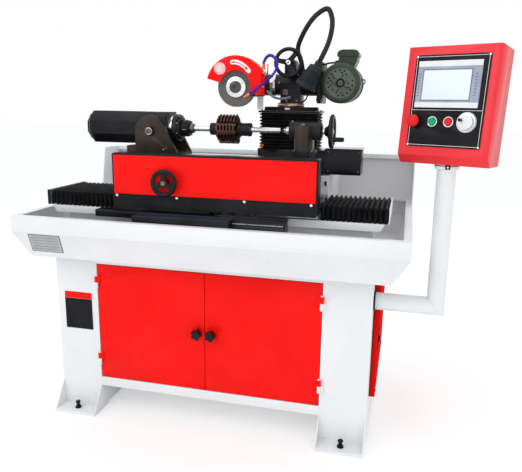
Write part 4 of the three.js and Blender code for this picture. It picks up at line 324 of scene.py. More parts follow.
def circle(r, x, y, steps):
    """A closed round profile for a rim, without its repeated last point."""
    return arc(x, y, r, 0, 360, steps)[:-1]


def turned(points, centre, angle):
    """The points turned about (0, 0) by an angle in degrees, and then moved to the centre."""
    c, s = cos(radians(angle)), sin(radians(angle))
    return [(centre[0] + u * c - v * s, centre[1] + u * s + v * c) for u, v in points]


def smooth_line(points, parts):
    """A curve through the points, with short straight steps."""
    points = [Vector(p) for p in points]
    full = [points[0] * 2 - points[1], *points, points[-1] * 2 - points[-2]]
    line = []
    for a, b, c, d in zip(full, full[1:], full[2:], full[3:]):
        for k in range(parts):
            t = k / parts
            bend = (2 * a - 5 * b + 4 * c - d) * t * t + (3 * b - a - 3 * c + d) * t ** 3
            line.append(0.5 * (2 * b + (c - a) * t + bend))
    return line + [points[-1]]


def ahead_at(line, i):
    """The direction of a line at one of its points."""
    return (line[min(i + 1, len(line) - 1)] - line[max(i - 1, 0)]).normalized()


class Build:
    """One mesh object, made from several bodies of revolution, prisms, boxes and tubes."""

    def __init__(self, name, turn=None):
        self.name = name
        self.mesh = bmesh.new()
        self.turn = turn

    def corner(self, p):
        return self.mesh.verts.new(put(self.turn @ Vector(p) if self.turn else p))

    def face(self, corners, mat=0):
        corners = list(dict.fromkeys(corners))
        if len(corners) > 2:
            self.mesh.faces.new(corners).material_index = mat

    def skirt(self, a, b, mat=0, closed=True):
        """Faces between two rows of corners; a row of a single corner makes a fan."""
        count = max(len(a), len(b))
        for k in range(count if closed else count - 1):
            n = (k + 1) % count
            self.face((a[k % len(a)], b[k % len(b)], b[n % len(b)], a[n % len(a)]), mat)

    def lathe(self, axis, centre, profile, mat=0, sides=64, start=0):
        """A body of revolution; mat is one material's number or one for each step of the profile."""
        rings = []
        for r, s in profile:
            flat = arc(*centre, r, start, start + 360, sides)[:-1] if r > 0 else [centre]
            rings.append([self.corner(spot(axis, *p, s)) for p in flat])
        mats = mat if isinstance(mat, list) else [mat] * len(profile)
        for a, b, m in zip(rings, rings[1:], mats):
            self.skirt(a, b, m)

    def closed(self, axis, centre, profile, mat=0, sides=64, start=0):
        """A body of revolution with a hole along its axis."""
        mats = [*mat, mat[-1]] if isinstance(mat, list) else mat
        self.lathe(axis, centre, [*profile, profile[0]], mats, sides, start)

    def disc(self, axis, centre, radius, low, high, mat=0, sides=32):
        self.lathe(axis, centre, [(0, low), (radius, low), (radius, high), (0, high)], mat, sides)

    def washer(self, axis, centre, inner, outer, low, high, mat=0, sides=48, start=0):
        profile = [(inner, low), (outer, low), (outer, high), (inner, high)]
        self.closed(axis, centre, profile, mat, sides, start)

    def rod(self, axis, centre, radius, low, high, mat=0, sides=32, edge=0.8):
        edge = min(edge, radius / 3, abs(high - low) / 3)
        inside = radius - edge
        self.lathe(axis, centre, [
            (0, low), (inside, low), (radius, low + edge), (radius, high - edge), (inside, high), (0, high),
        ], mat, sides)

    def dome(self, axis, centre, radius, base, rise, mat=0, sides=24):
        steps = [radians(15 * k) for k in range(6)]
        profile = [(radius * cos(a), base + rise * (0.25 + 0.75 * sin(a))) for a in steps]
        self.lathe(axis, centre, [(0, base), (radius, base), *profile, (0, base + rise)], mat, sides)

    def screw(self, axis, centre, radius, base, rise, mat=0):
        """A socket-head screw: a rounded head with a six-sided recess."""
        edge, socket, top, bottom = rise * 0.2, radius * 0.5, base + rise, base + rise * 0.45
        self.lathe(axis, centre, [
            (0, base), (radius, base), (radius, top - edge), (radius - abs(edge), top), (socket * 1.05, top),
        ], mat, 24)
        self.lathe(axis, centre, [(socket * 1.15, top - edge * 0.01), (socket, bottom), (0, bottom)], mat, 6)

    def prism(self, axis, outline, low, high, mat=0):
        a, b = ([self.corner(spot(axis, *p, s)) for p in outline] for s in (low, high))
        self.face(a, mat)
        self.face(b[::-1], mat)
        self.skirt(a, b, mat)

    def box(self, x, y, z, mat=0):
        self.prism("z", [(x[0], y[0]), (x[1], y[0]), (x[1], y[1]), (x[0], y[1])], *z, mat)

    def tube(self, points, radius, mat, sides, parts, radii=None):
        """A round tube along the points; with parts it follows a smooth curve through them."""
        line = smooth_line(points, parts) if parts else [Vector(p) for p in points]
        rings = []
        side = ahead_at(line, 0).cross(Vector((0.31, 0.77, 0.55))).normalized()
        for i, p in enumerate(line):
            ahead = ahead_at(line, i)
            side = (side - ahead * side.dot(ahead)).normalized()
            up = ahead.cross(side)
            r = radii[i] if radii else radius
            rings.append([self.corner(p + side * u + up * v) for u, v in circle(r, 0, 0, sides)])
        for a, b in zip(rings, rings[1:]):
            self.skirt(a, b, mat)
        self.face(rings[0], mat)
        self.face(rings[-1][::-1], mat)

    def each(self, shape, axis, places, *form):
        """The same screw, dome or rod at several places."""
        for place in places:
            shape(axis, place, *form)

    def done(self, body, materials, slot, bevel=0, replaces="", angle=35, across=()):
        """Finish the piece on its body; with across, its place is baked into the mesh and it goes on no body.
        """
        bmesh.ops.recalc_face_normals(self.mesh, faces=self.mesh.faces)
        data = bpy.data.meshes.new(self.name)
        self.mesh.to_mesh(data)
        self.mesh.free()
        for material in materials:
            data.materials.append(material)
        data.shade_smooth()
        data.set_sharp_from_angle(angle=radians(angle))
        made = add_object(self.name, data)
        if bevel:
            soften(made, bevel)
        if replaces:
            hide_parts(replaces)
        if across:
            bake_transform(made)
        else:
            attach(made, body)


def soften(piece, width):
    """Rounded edges where the faces meet at a clear angle."""
    bevel = piece.modifiers.new("edges", "BEVEL")
    bevel.width = width / 1000
    bevel.segments = 2
    bevel.angle_limit = radians(40)
    bevel.harden_normals = True


def dress(name, material, edge):
    """A CAD node that stays: its material, smooth round faces and softened edges."""
    piece = nodes[name]
    piece.data.materials.clear()
    piece.data.materials.append(material)
    piece.data.shade_smooth()
    weld = piece.modifiers.new("weld", "WELD")
    weld.merge_threshold = 0.00002
    soften(piece, edge)


# CAD nodes that stay as they are, with their finishes
for material, edge, names in (
    (WHITE, 1.6, "left_pedestal right_pedestal cabinet_shell coolant_tray splash_guard bed cross_base"),
    (WHITE, 1, "pole"), (RED, 1.4, "left_door right_door cover_panel wheel_guard belt_guard"),
    (PANEL_SHEEN_RED, 1.5, "panel_box"), (SHADED_SIDE_RED, 1.4, "electrical_door"),
    (SATIN, 1.2, "table_cover panel_plate column_ram"),
    (BLACK, 1.5, "bed_apron cross_slide workhead_motor"),
    (IRON, 1.5, "workhead_body head_housing wheel_arm tailstock_body"),
    (BROWN_IRON, 1.5, "workhead_bracket"), (TABLE_METAL, 0.8, "table coolant_tank"),
    (OILED_STEEL, 0.4, "table_rack"), (DARK_STEEL, 0.4, "pinion_shaft motor_rotor"),
    (STEEL, 0.6, "tail_quill"), (SCALE, 0.6, "swivel_ring"), (TILT_SCALE, 0.8, "tilt_ring"),
    (BELT, 0.5, "drive_belt"),
):
    for name in names.split():
        dress(name, material, edge)


# Cabinet: knobs, levelling bolts, hinge caps, plates and the side door's fittings
def door_knob(side, name, body):
    """A lobed knob in front of its door, with the stem and the latch behind it."""
    x, z = at = (side * KNOB_X, KNOB_Z)
    face, latch = -289.7, -281.1
    b = Build(name + "_grip")
    rings = []
    for scale, y in ((0.9, -297.7), (1, -300.5), (1, -317), (0.93, -320.4), (0.8, -321.7), (0.55, -321.7)):
        ring = []
        for k in range(60):
            a = radians(6 * k)
            r = scale * (18.5 + 2.5 * cos(5 * a))
            ring.append(b.corner((x + r * cos(a), y, z + r * sin(a))))
        rings.append(ring)
    for low, high in zip(rings, rings[1:]):
        b.skirt(low, high)
    b.face(rings[0])
    b.face(rings[-1])
    b.lathe("y", at, [(0, -298), (9, -298), (11.7, -293), (11.7, face), (0, face)], 0, 32)
    b.dome("y", at, 7.5, -321.5, -0.4)
    b.rod("y", at, 6, face, latch, 1, 20)
    b.box((x - 6, x + 6), (latch - 4, latch), (z, z + 26), 1)
    b.done(body, [PLASTIC, DARK_STEEL], "black_plastic", 0.4, name)


for side, word in ((-1, "left"), (1, "right")):
    door_knob(side, word + "_door_knob", word + "_knob")

b = Build("levelling_bolts")
for at in product((-544, 544), (-330, 440)):
    b.rod("z", at, 6, 12, 41, 0, 20)
    b.disc("z", at, 13, 12, 14, 0, 28)
    b.lathe("z", at, [(0, 14), (10, 14), (11, 15), (11, 22), (10, 23), (0, 23)], 0, 6)
    b.lathe("z", at, [(0, 32), (9.5, 32), (10.5, 33), (10.5, 40), (9, 41.5), (0, 42)], 0, 6)
b.done("frame", [OILED_STEEL], "dark_steel", 0.4)

b = Build("hinge_caps")
for x, z in product((-451.05, 451.05), (228, 553)):
    b.dome("z", (x, -296.4), 6.4, z + 26.4, 3.2)
    b.dome("z", (x, -296.4), 6.4, z - 26, -2.6)
b.done("frame", [WHITE], "white_paint")


def slope_point(x, t, out=0):
    """A point on the tray's front slope: t is 0 at the lip's bottom and 1 at the pedestals' top."""
    a, b = Vector((x, -391.8, 759)), Vector((x * (1 - 59 / 750 * t), -358.8, 660.3))
    normal = Vector((0, -98.7, -33)).normalized()
    p = a + (b - a) * t + normal * out
    return (x, p.y, p.z)


b = Build("slope_plate")
for level, left, right, top, low, mat in (
    (1, -679, -543, 0.045, 0.775, 1), (1.5, -676, -546, 0.065, 0.755, 0),
):
    outline = ((left, low), (right, low), (right, top), (left, top))
    front, back = ([b.corner(slope_point(*p, out)) for p in outline] for out in (level, 0))
    b.face(front, mat)
    b.face(back[::-1], mat)
    b.skirt(front, back, mat)
for k in range(5):
    b.tube([slope_point(x, 0.17 + 0.12 * k, 1.75) for x in (-666, -556)], 0.5, 1, 6, 2)
b.done("frame", [PLATE_GREY, DARK_STEEL], "dark_steel", 0.2)

b = Build("leg_plate")
b.box((-601, -478), (-290.6, -289.2), (345, 504))
b.box((-600, -479), (-291.1, -290.4), (475.5, 503), 1)
b.box((-600, -479), (-291.1, -290.4), (346, 475), 2)
b.done("frame", [ALUMINIUM, RED, SATIN], "black_paint", 0.3)

face = 652.5
b = Build("side_door_fittings")
b.each(b.dome, "x", product((-172,), (610, 560, 530, 215, 178)), 4.5, face, 3, 0, 20)
b.prism("x", arc(-165, 420, 17, 90, 270, 12) + arc(-165, 360, 17, 270, 450, 12), face, face + 3.8)
b.rod("x", (-165, 390), 9, face + 3.4, face + 8.4, 0, 28)
b.rod("x", (-165, 390), 4, face + 8.2, face + 9, 1, 20)
b.done("electrical_door", [PLASTIC, ALUMINIUM], "black_plastic", 0.5)

# A thin dark brown strip in the gap at the side door's edge: painted shadow line
b = Build("side_door_shadow_line")
b.box((631.2, 633.4), (-190.5, -185.2), (158, 622))
b.done("frame", [BROWN_IRON], "dark_steel", 0.4)


# Bellows: folded cloth with sharp outer folds, and the sheet at its left end
def folded(name, bodies, axis, section, low, high, pleats, depth):
    """Pleats between two bodies; section(shrink) is the outline, pulled in by shrink."""
    b = Build(name + "_folds")
    step = (high - low) / pleats
    stations = []
    for i in range(pleats):
        s = low + i * step
        stations += [(s + step * 0.02, depth), (s + step * 0.42, 0.4), (s + step * 0.58, 0.4)]
    stations.append((high - step * 0.02, depth))
    outer, inner = (
        [[b.corner(spot(axis, *p, s)) for p in section(shrink + thick)] for s, shrink in stations]
        for thick in (0, 1.2)
    )
    looped = axis == "z"
    pairs = [*zip(outer, outer[1:]), *zip(inner, inner[1:]), (outer[0], inner[0]), (outer[-1], inner[-1])]
    for first, second in pairs:
        b.skirt(first, second, 0, looped)
    if not looped:
        for k in (0, -1):
            b.skirt([row[k] for row in outer], [row[k] for row in inner], 0, False)
    across = (bodies[1], spot(axis, 0, 0, low), spot(axis, 0, 0, high))
    b.done(bodies[0], [BELLOWS], "bellows_cloth", 0, name + "_bellows", 25, across)


def channel(shrink):
    y0, y1, z0, z1 = -250 + shrink, 21 - shrink, 848.4 + 0.25 * shrink, 905 - shrink
    return [(y0, z0), (y0, z1 - 1.5), (y0 + 1.5, z1), (y1 - 1.5, z1), (y1, z1 - 1.5), (y1, z0)]


def rectangle(shrink):
    x0, x1, y0, y1 = 117 + shrink, 359 - shrink, 65 + shrink, 205 - shrink
    return [(x0, y0), (x1, y0), (x1, y1), (x0, y1)]


folded("left", ("frame", "table"), "x", channel, -666.3, -353.4, 16, 12)
folded("right", ("table", "frame"), "x", channel, 424.4, 666.3, 13, 12)
folded("column", ("saddle", "ram"), "z", rectangle, 1075.4, 1219.6, 11, 9)

b = Build("bellows_end_sheet")
b.box((-674.8, -671.3), (-252.2, 23), (849, 907))
b.box((-672, -662), (-252.2, -250.4), (849, 907))
b.box((-672, -662), (-252.2, 23), (905.3, 907))
b.done("frame", [SATIN], "black_paint", 0.5)


# Handwheels
def spoked(b, at, radius, rim, hub, middle, first, spread):
    """A cast wheel about Y: a round rim and three spokes that widen into it."""
    far = radius - rim
    half = degrees(asin(spread / far))
    b.closed("y", at, circle(rim, far, middle, 16), 0, 72)
    spoke = arc(0, 0, far, -half, half, 8)
    spoke += [(far * 0.72, hub * 0.62), (hub * 0.7, hub * 0.72)]
    spoke += [(hub * 0.7, -hub * 0.72), (far * 0.72, -hub * 0.62)]
    for k in range(3):
        b.prism("y", turned(spoke, at, first + 120 * k), middle - rim * 0.55, middle + rim * 0.55)


b = Build("table_wheel_casting")
at = TABLE_WHEEL_AXIS
spoked(b, at, 51, 8.5, 15, -335, 90, 15)
b.closed("y", at, [(6.9, -342.8), (13, -342.8), (15, -341), (15, -327), (13, -325.7), (6.9, -325.7)], 0, 48)
b.washer("y", at, 3.2, 7.4, -343.2, -342.4, 1, 40)
b.rod("y", at, 6.5, -342, -326, 2, 32)
b.done("table_wheel", [PLASTIC, BRASS, DARK_STEEL], "black_plastic", 0.9, "table_handwheel")

b = Build("head_wheel_casting")
at = HEAD_WHEEL_AXIS
spoked(b, at, 58, 7.5, 14, 26.7, 50, 15)
b.lathe("y", at, [
    (0, 19.7), (12.5, 19.7), (13.5, 21), (13.5, 33), (10.5, 35), (12.5, 38), (12.5, 47.7), (0, 47.7),
], 0, 48)
b.closed("y", at, [(3.2, 18.9), (8.5, 18.9), (9.5, 19.5), (9.5, 20.4), (3.2, 20.4)], 1, 40)
b.disc("y", at, 3.4, 19.6, 20.4, 2, 6)
b.rod("y", at, 7, 47, 108, 1, 32)
b.done("head_wheel", [PLASTIC, CHROME, DARK_STEEL], "black_plastic", 0.9, "head_handwheel")

at = WORK_AXIS
b = Build("tail_wheel_casting")
b.closed("x", at, circle(8, 54.5, 440, 18), 0, 80)
b.closed("x", at, [
    (10, 428), (17, 420), (24, 425), (38, 433), (49, 436), (49, 443), (36, 440), (22, 436), (10, 440),
], 0, 64)
b.lathe("x", at, [(0, 412.2), (12, 412.2), (17, 416), (17.5, 436), (15, 444), (0, 445)], 0, 48)
b.lathe("x", at, [(0, 396.8), (10.4, 396.8), (10.4, 402), (10, 402.4), (10, 411.5), (0, 411.5)], 1, 48)
b.rod("x", at, 8, 318, 397, 1, 32)
b.screw("x", at, 7.5, 444, 2, 1)
grip = (at[0] - 45, at[1] - 26)
b.rod("x", grip, 5, 438, 452, 1, 24)
b.lathe("x", grip, [
    (0, 448.4), (6.5, 448.4), (8.2, 451), (8.5, 470), (8.1, 484), (6.5, 489.5), (0, 490.3),
], 0, 40)
b.done("tail_wheel", [PLASTIC, CHROME], "black_plastic", 0, "tail_handwheel")

b = Build("cover_screws")
b.each(b.dome, "y", product((-337, -97, 161, 402), (911,)), 5.6, -309.6, -3.4, 0, 28)
b.done("table", [ALUMINIUM], "bright_steel")

b = Build("cover_rim")
left, right, low, high, width = -346.3, 417.3, 917.8, 1062.7, 2.2
for x in ((left - width, left), (right, right + width)):
    b.box(x, (-312, -309.8), (low, high + width))
b.box((left, right), (-312, -309.8), (high, high + width))
b.done("table", [SATIN], "black_paint", 0.5)

# The drive cover's top and the upstand behind it, painted blue-black: painted sheen of the light on the black
# cover's top face
b = Build("drive_cover_top")
b.box((-257, 114), (-354.6, -305.4), (842.8, 844.6))
b.box((-257, 114), (-307, -305.4), (844, 850.4))
b.each(b.dome, "z", ((-250, -346), (107, -346)), 3.2, 844.5, 1.8, 1, 20)
b.done("frame", [BLUE_SHEEN_PAINT, PLASTIC], "black_paint", 0.5)

# A black lip with a bright aluminium strip along its top: the strip is a painted highlight on the glossy
# black lip
b = Build("guide_lip_and_highlight")
b.box((116, 309), (-318.6, -306), (825.8, 829))
b.box((118, 306), (-316, -308), (829, 831.5), 1)
b.done("frame", [BLACK, ALUMINIUM], "black_paint", 0.5)


# Workhead: pivot bolts, chuck, arbor and cutter
b = Build("tilt_bolts")
at = (-252, 1146)
for y, way in ((-200.3, -1), (-29.7, 1)):
    b.washer("y", at, 8, 13.8, y, y + way * 1.4, 0, 40)
    b.lathe("y", at, [
        (0, y), (10.5, y), (11.2, y + way), (11.2, y + way * 6), (10.3, y + way * 7), (5.4, y + way * 7),
    ], 1, 40)
    b.lathe("y", at, [(5.6, y + way * 6.9), (5.2, y + way * 3), (0, y + way * 3)], 1, 6)
b.done("workhead", [CHROME, DARK_STEEL], "bright_steel", 0.4)

b = Build("bracket_screws")
b.each(b.screw, "z", product((-296, -156), (-184, -46)), 6.5, 1064.2, 5.5)
b.rod("y", (-197, 1077), 2.4, -192.6, -191.6, 1, 20)
b.rod("y", (-185, 1082), 1.6, -192.6, -191.6, 1, 20)
b.done("table", [DARK_STEEL, STEEL], "dark_steel", 0.3)

b = Build("workhead_motor_cap")
b.each(b.screw, "x", product((-145, -85), (1188, 1126)), 4, -530.7, -3.2)
b.washer("x", WORK_AXIS, 50, 53, -530.8, -532.2, 0, 8, 22.5)
b.done("workhead", [DARK_STEEL], "dark_steel", 0.3)

at = WORK_AXIS
b = Build("chuck_turned")
b.closed("x", at, [
    (10, -261), (20, -261), (20, -191.8), (45, -191.6), (47, -190), (47, -175), (45, -173.8),
    (52.5, -173.8), (53, -172), (53, -157), (51, -154.5), (45, -154.2), (43.5, -146), (41, -144.7),
    (30.5, -144.7), (30.5, -119), (28.5, -112), (15, -111.8), (11.4, -114),
], [0] * 2 + [1] * 4 + [0] * 7 + [2] * 4 + [0] * 2, 80)
b.each(b.screw, "x", arc(*at, 47.5, 22.5, 337.5, 7), 4.2, -155.5, 5.6, 3)
b.each(b.rod, "x", arc(*at, 29.8, 10, 280, 3), 3.2, -137, -121, 3, 16)
b.done("work_spindle", [IRON, CHROME, SATIN, DARK_STEEL], "black_iron", 0.5, "chuck")

b = Build("arbor_turned")
b.closed("x", at, [
    (4, -141), (10.8, -141), (10.8, -111.4), (20, -111.4), (20.5, -110), (17.5, -98), (14.5, -95.6),
    (11, -95.4), (11, -28.6), (22.4, -28.6), (23.2, -27.6), (23.2, 1.8), (22.4, 2.7), (11, 2.7), (11, 80.4),
    (26, 80.4), (27, 81.4), (27, 92.4), (25.6, 93.4), (24.5, 94.2), (24.5, 118), (23, 118.6), (23, 121),
    (25, 121.6), (25, 130.6), (24, 131.6), (10, 131.8), (10, 244.4), (9, 245.9), (3, 245.9), (2, 242),
], [1] + [0] * 2 + [1] * 4 + [0] * 2 + [2] * 4 + [0] + [2] * 12 + [0] * 5, 64)
for x, r in ((-15, 22.6), (126, 24.4)):
    for inside, outside in zip(arc(*at, r - 1, -110, 130, 2), arc(*at, r + 1.6, -110, 130, 2)):
        b.tube([(x, *inside), (x, *outside)], 3.4, 3, 14, 0)
b.done("work_spindle", [STEEL, DARK_STEEL, IRON, SATIN], "bright_steel", 0, "arbor")

# A hob: straight gashes between rows of teeth, which fall away behind their cutting faces
at = WORK_AXIS
b = Build("cutter_teeth")
rows, gashes, x0, x1 = 6, 9, 3, 80
tooth, lead = 0.6, 5.5
pitch = (x1 - x0) / rows
b.closed("x", at, [(11.5, x0), (40, x0), (40.5, x0 + 0.6), (40.5, x1 - 0.6), (40, x1), (11.5, x1)], 0, 72)
for g in range(gashes):
    grid = []
    for share in (k / 6 for k in range(7)):
        turn = (g + share * tooth) / gashes
        a = 2 * pi * turn
        relief = 1 - 0.055 * share
        top, low = 57 * relief, 46.2 * relief
        line = [(x0, 39), (x0, low)]
        for i in range(-1, rows + 1):
            for u, r in ((0.12, low), (0.34, top), (0.62, top), (0.88, low)):
                x = x0 + (i + u) * pitch + lead * turn
                line.append((min(max(x, x0), x1), r if x0 <= x <= x1 else low))
        line += [(x1, low), (x1, 39)]
        grid.append([b.corner((x, at[0] + r * cos(a), at[1] + r * sin(a))) for x, r in line])
    for first, second in zip(grid, grid[1:]):
        b.skirt(first, second, 0, False)
    b.face(grid[0], 1)
    b.face(grid[-1])
b.done("work_spindle", [CUTTER, TOOTH_FACE], "cutter_steel", 0, "hob", 30)

b = Build("tailstock_fittings")
at = (337, -149)
b.screw("z", at, 12, 1177.8, 7)
b.closed("z", at, [(29.6, 1085), (30.7, 1085), (30.7, 1177.2), (29.9, 1178.4), (29.6, 1178.2)], 1, 64)
b.closed("y", (337, 1123), [(3, -179.6), (8.4, -179.6), (9, -179), (9, -177.5), (3, -177.5)], 1, 32)
b.disc("y", (337, 1123), 3.4, -178.2, -176, 1, 6)
b.rod("z", (294, -128), 4, 1187, 1195, 0, 20)
b.closed("x", WORK_AXIS, [(15.4, 280.6), (24, 280.6), (27, 282), (27, 283.4), (15.4, 283.4)], 2, 48)
b.closed("x", WORK_AXIS, [(11.2, 400.8), (22, 400.8), (24, 402), (22, 405), (11.2, 405)], 2, 48)
b.each(b.screw, "z", product((306, 371), (-156, -74)), 5.5, 1084, 5)
b.done("table", [DARK_STEEL, BROWN_IRON, IRON], "dark_steel", 0.3)

b = Build("slide_plug")
b.rod("y", (131, 1086), 7.5, 49, 64, 0, 28)
b.rod("y", (131, 1086), 3, 47.6, 49.4, 1, 20)
b.done("saddle", [ORANGE, DARK_STEEL], "valve_brass", 0.4)

b = Build("feed_box_fittings")
b.each(b.dome, "y", product((405, 526), (992, 1068)), 3.4, 65.2, -2, 0, 20)
b.box((396, 540), (62, 178), (1079.8, 1082.6), 1)
b.done("saddle", [DARK_STEEL, BLACK], "black_paint", 0.6)

b = Build("base_brace")
for x in (96, 398):
    b.prism("x", [(44.8, 952), (36, 952), (44.8, 934)], x, x + 8)
b.done("frame", [SATIN], "black_paint", 0.4)

b = Build("ram_mark")
b.box((222, 242), (66.8, 68.2), (1231.5, 1239.5))
b.done("ram", [DECAL], "white_paint")

b = Build("column_strips")
for z in (1219.8, 1226.6):
    b.box((112, 364), (60.6, 61.2), (z - 0.4, z + 0.4))
b.each(b.screw, "z", product((126, 350), (74, 196)), 5, 1226.8, 4.2)
b.done("ram", [DARK_STEEL], "dark_steel")


# Grinding wheel, flange, and the guard's marks and plate
at = GRINDING_AXIS
b = Build("wheel_grit")
b.closed("y", at, [
    (12.4, -137.6), (40, -137.6), (58, -137.9), (70.6, -137.9), (72, -136.6), (72, -119.4), (70.6, -118.1),
    (12.4, -118.1),
], 0, 128)
b.done("wheel", [ABRASIVE], "abrasive", 0, "grinding_wheel")

b = Build("wheel_flange")
b.lathe("y", at, [
    (0, -151.6), (6.4, -151.6), (6.9, -157.4), (7.4, -158.2), (18.5, -158.2), (21.5, -156.4), (22, -146.6),
    (23, -146.4), (35, -146.3), (37.6, -145), (38, -143.6), (38, -138.4), (12, -138.4), (12, -117.6),
    (38, -117.6), (38, -109.8), (12, -109.8), (12, 245), (15, 245), (15, 262.4), (0, 262.4),
], [1] * 6 + [0] * 5 + [2] * 10, 96)
b.each(b.screw, "y", arc(*at, 29.5, 30, 330, 5), 3, -145.9, -1.6, 2)
b.done("wheel", [ALUMINIUM, HUB_STEEL, STEEL], "bright_steel", 0, "wheel_spindle")


def band(points, width):
    """The outline of a strip with round ends along a line of points."""
    line = smooth_line([(*p, 0) for p in points], 6)
    left, right = [], []
    for i, p in enumerate(line):
        ahead = ahead_at(line, i)
        side = Vector((-ahead.y, ahead.x, 0)) * width / 2
        left.append(p + side)
        right.append(p - side)
    loop = []
    for edge, centre in ((left, line[-1]), (right[::-1], line[0])):
        half = edge[-1] - centre
        loop += edge
        loop += [centre + Matrix.Rotation(-radians(20 * k), 3, "Z") @ half for k in range(1, 9)]
    return [(v.x, v.y) for v in loop]


x, z = GRINDING_AXIS
b = Build("guard_marks")
strip = [(x - 11, z + 88), (x + 6, z + 88), (x + 24, z + 81), (x + 40, z + 70), (x + 52, z + 57)]
shaft = [(x - 3, z + 88.5), (x + 10, z + 86.5), (x + 26, z + 79), (x + 40, z + 69)]
b.prism("y", band(strip, 16), -155.7, -154.9)
for outline in (
    band(shaft, 2.6),
    [(x + 49, z + 59), (x + 36.5, z + 65.5), (x + 44, z + 74)],
    [(x - 13, z + 88), (x - 4, z + 83.5), (x - 3, z + 93.5)],
):
    b.prism("y", outline, -156.2, -155.5, 1)
c = (x - 59, z + 66)
b.washer("y", c, 19.4, 21.2, -155.9, -154.9)
b.disc("y", c, 17.6, -155.7, -154.9, 0, 48)
for r in (4, 8, 12, 15.5):
    b.washer("y", c, r - 0.5, r + 0.5, -156, -155.6, 1, 40)
b.done("arm", [DECAL, RED_CAP], "red_paint")

b = Build("guard_hem")
b.box((128, 176.6), (-154.8, -95.2), (1281, 1284.1))
b.box((149, 172), (-94.9, -92.9), (1232, 1312), 1)
b.each(b.dome, "y", ((154, 1304), (167, 1304)), 3.2, -93, 2.2, 2, 20)
b.done("arm", [SATIN, PLATE_GREY, STEEL], "red_paint", 0.5)

for level in (1340, 1390):
    b = Build("guard_screws_%d" % level)
    b.dome("x", (-125, level - 25), 4, 176.9, 2.4, 0, 20)
    b.done("arm", [STEEL], "bright_steel")


# Head: screws, scale marks, arm fittings and belt guard screws
b = Build("head_fittings")
b.screw("y", (188, 1338), 4.2, 108.4, -3.2, 1)
b.each(b.screw, "y", ((222, 1268), (264, 1268)), 5, 98, -4)
b.box((206, 226), (97.2, 98.2), (1290, 1312))
b.rod("z", (241, 84), 4, 1430, 1438, 0, 20)
b.rod("z", (241, 112), 3, 1430, 1434, 0, 20)
b.closed("x", TILT_AXIS, [(30.6, 349.9), (46, 349.9), (46, 341), (42.2, 340), (30.6, 340)], 2, 72)
b.each(b.screw, "z", arc(*SWIVEL_AXIS, 47, 160, 300, 4), 3.6, 1256.9, 3.4)
b.done("head", [DARK_STEEL, BRASS, IRON], "dark_steel", 0.2)

b = Build("arm_fittings")
for inside, outside in zip(arc(*TILT_AXIS, 44, -100, -170, 2), arc(*TILT_AXIS, 47.4, -100, -170, 2)):
    b.tube([(158, *inside), (158, *outside)], 2.6, 0, 16, 0)
b.each(b.screw, "x", product((80, 204), (1274, 1402)), 6.5, 350.5, -4.2)
b.each(b.screw, "z", ((96, 118), (96, 182)), 5.2, 1373.8, 4.4)
b.done("arm", [DARK_STEEL], "dark_steel")

b = Build("belt_guard_screws")
places = ((66, 1331), (200, 1300), (330, 1306), (260, 1367), (445, 1385), (487, 1322))
b.each(b.dome, "y", places, 4, 271.5, 2.6, 0, 20)
b.done("arm", [STEEL], "bright_steel")


# Motor: fan cover, ribs, feet, terminal box and cables
at = MOTOR_AXIS
b = Build("head_motor_body")
b.closed("y", at, [
    (9.4, 60), (9.4, 33), (17, 31.6), (18, 30.2), (20, 31.4), (55, 32.4), (57, 31), (63, 30.2),
    (70, 32.5), (75, 37.5), (77, 44), (77, 90), (75.6, 92), (69.5, 92.4), (69.5, 226), (73.5, 227),
    (73.5, 232), (69, 235.2), (9.4, 235.2), (9.4, 194), (30, 190), (30, 60),
], [2] * 2 + [1] * 4 + [0] * 16, 96)
hub = [(0, 30.6), (3, 30.6), (3, 29.8), (8, 29.8), (9.6, 31), (9.6, 34), (0, 34)]
b.lathe("y", at, hub, [2] + [1] * 5, 40)
# Rings of black discs on the fan cover stand for its holes: painted shade where the openings are; in the
# outer ones about one in six is left out
for count, r, size in ((6, 23, 2.6), (10, 30, 3.2), (13, 38, 3.6), (17, 47.5, 3.9)):
    first = 360 * 0.3 * (r % 2) / count
    y = 31.4 + (r - 20) / 35
    for centre in arc(*at, r, first, first + 360, count)[:-1]:
        if r == 23 or random.random() >= 0.16:
            b.disc("y", centre, size, y - 0.25, y + 0.6, 2, 10)
for k in range(40):
    angle = 9 * (k + 0.5)
    if not (55 < angle < 95 or 150 < angle < 210):
        b.prism("y", turned([(69, -1.3), (76.2, -0.8), (76.2, 0.8), (69, 1.3)], at, angle), 96, 224)
b.box((366.8, 384), (86, 206), (1290, 1382))
for level in (1299, 1336, 1373):
    b.box((380, 396), (92, 200), (level - 5, level + 5))
b.done("arm", [MOTOR_PAINT, FAN_COVER, SATIN], "motor_paint", 0, "head_motor")

b = Build("terminal_box")
b.prism("y", [(440, 1396), (490, 1396), (503, 1424), (503, 1436), (430, 1436), (430, 1424)], 72, 163)
b.prism("y", [
    (424, 1437), (508, 1437), (508, 1449), (500, 1460.5), (484, 1462.8), (444, 1462.8), (431, 1459),
    (424, 1450),
], 70.2, 164.8)
for k in range(5):
    b.box((438 + 13 * k, 442 + 13 * k), (69.6, 71.4), (1441, 1457))
b.each(b.screw, "z", product((430, 502), (78, 157)), 3.2, 1456, 2.6, 1)
gland = [(0, 412), (6.4, 412), (8.6, 414), (8.6, 421), (10, 422), (10, 427), (0, 427)]
b.lathe("x", (112, 1416), gland, 2, 20)
b.done("arm", [MOTOR_PAINT, STEEL, PLASTIC], "motor_paint", 2.2)

b = Build("lifting_eye")
loop = [radians(30 * k) for k in range(13)]
b.tube([(525 + 7 * cos(a), 128, 1344 + 9 * sin(a)) for a in loop], 2.4, 0, 12, 3)
b.rod("x", (128, 1344), 5, 511, 520, 0, 20)
b.done("arm", [DARK_STEEL], "dark_steel")

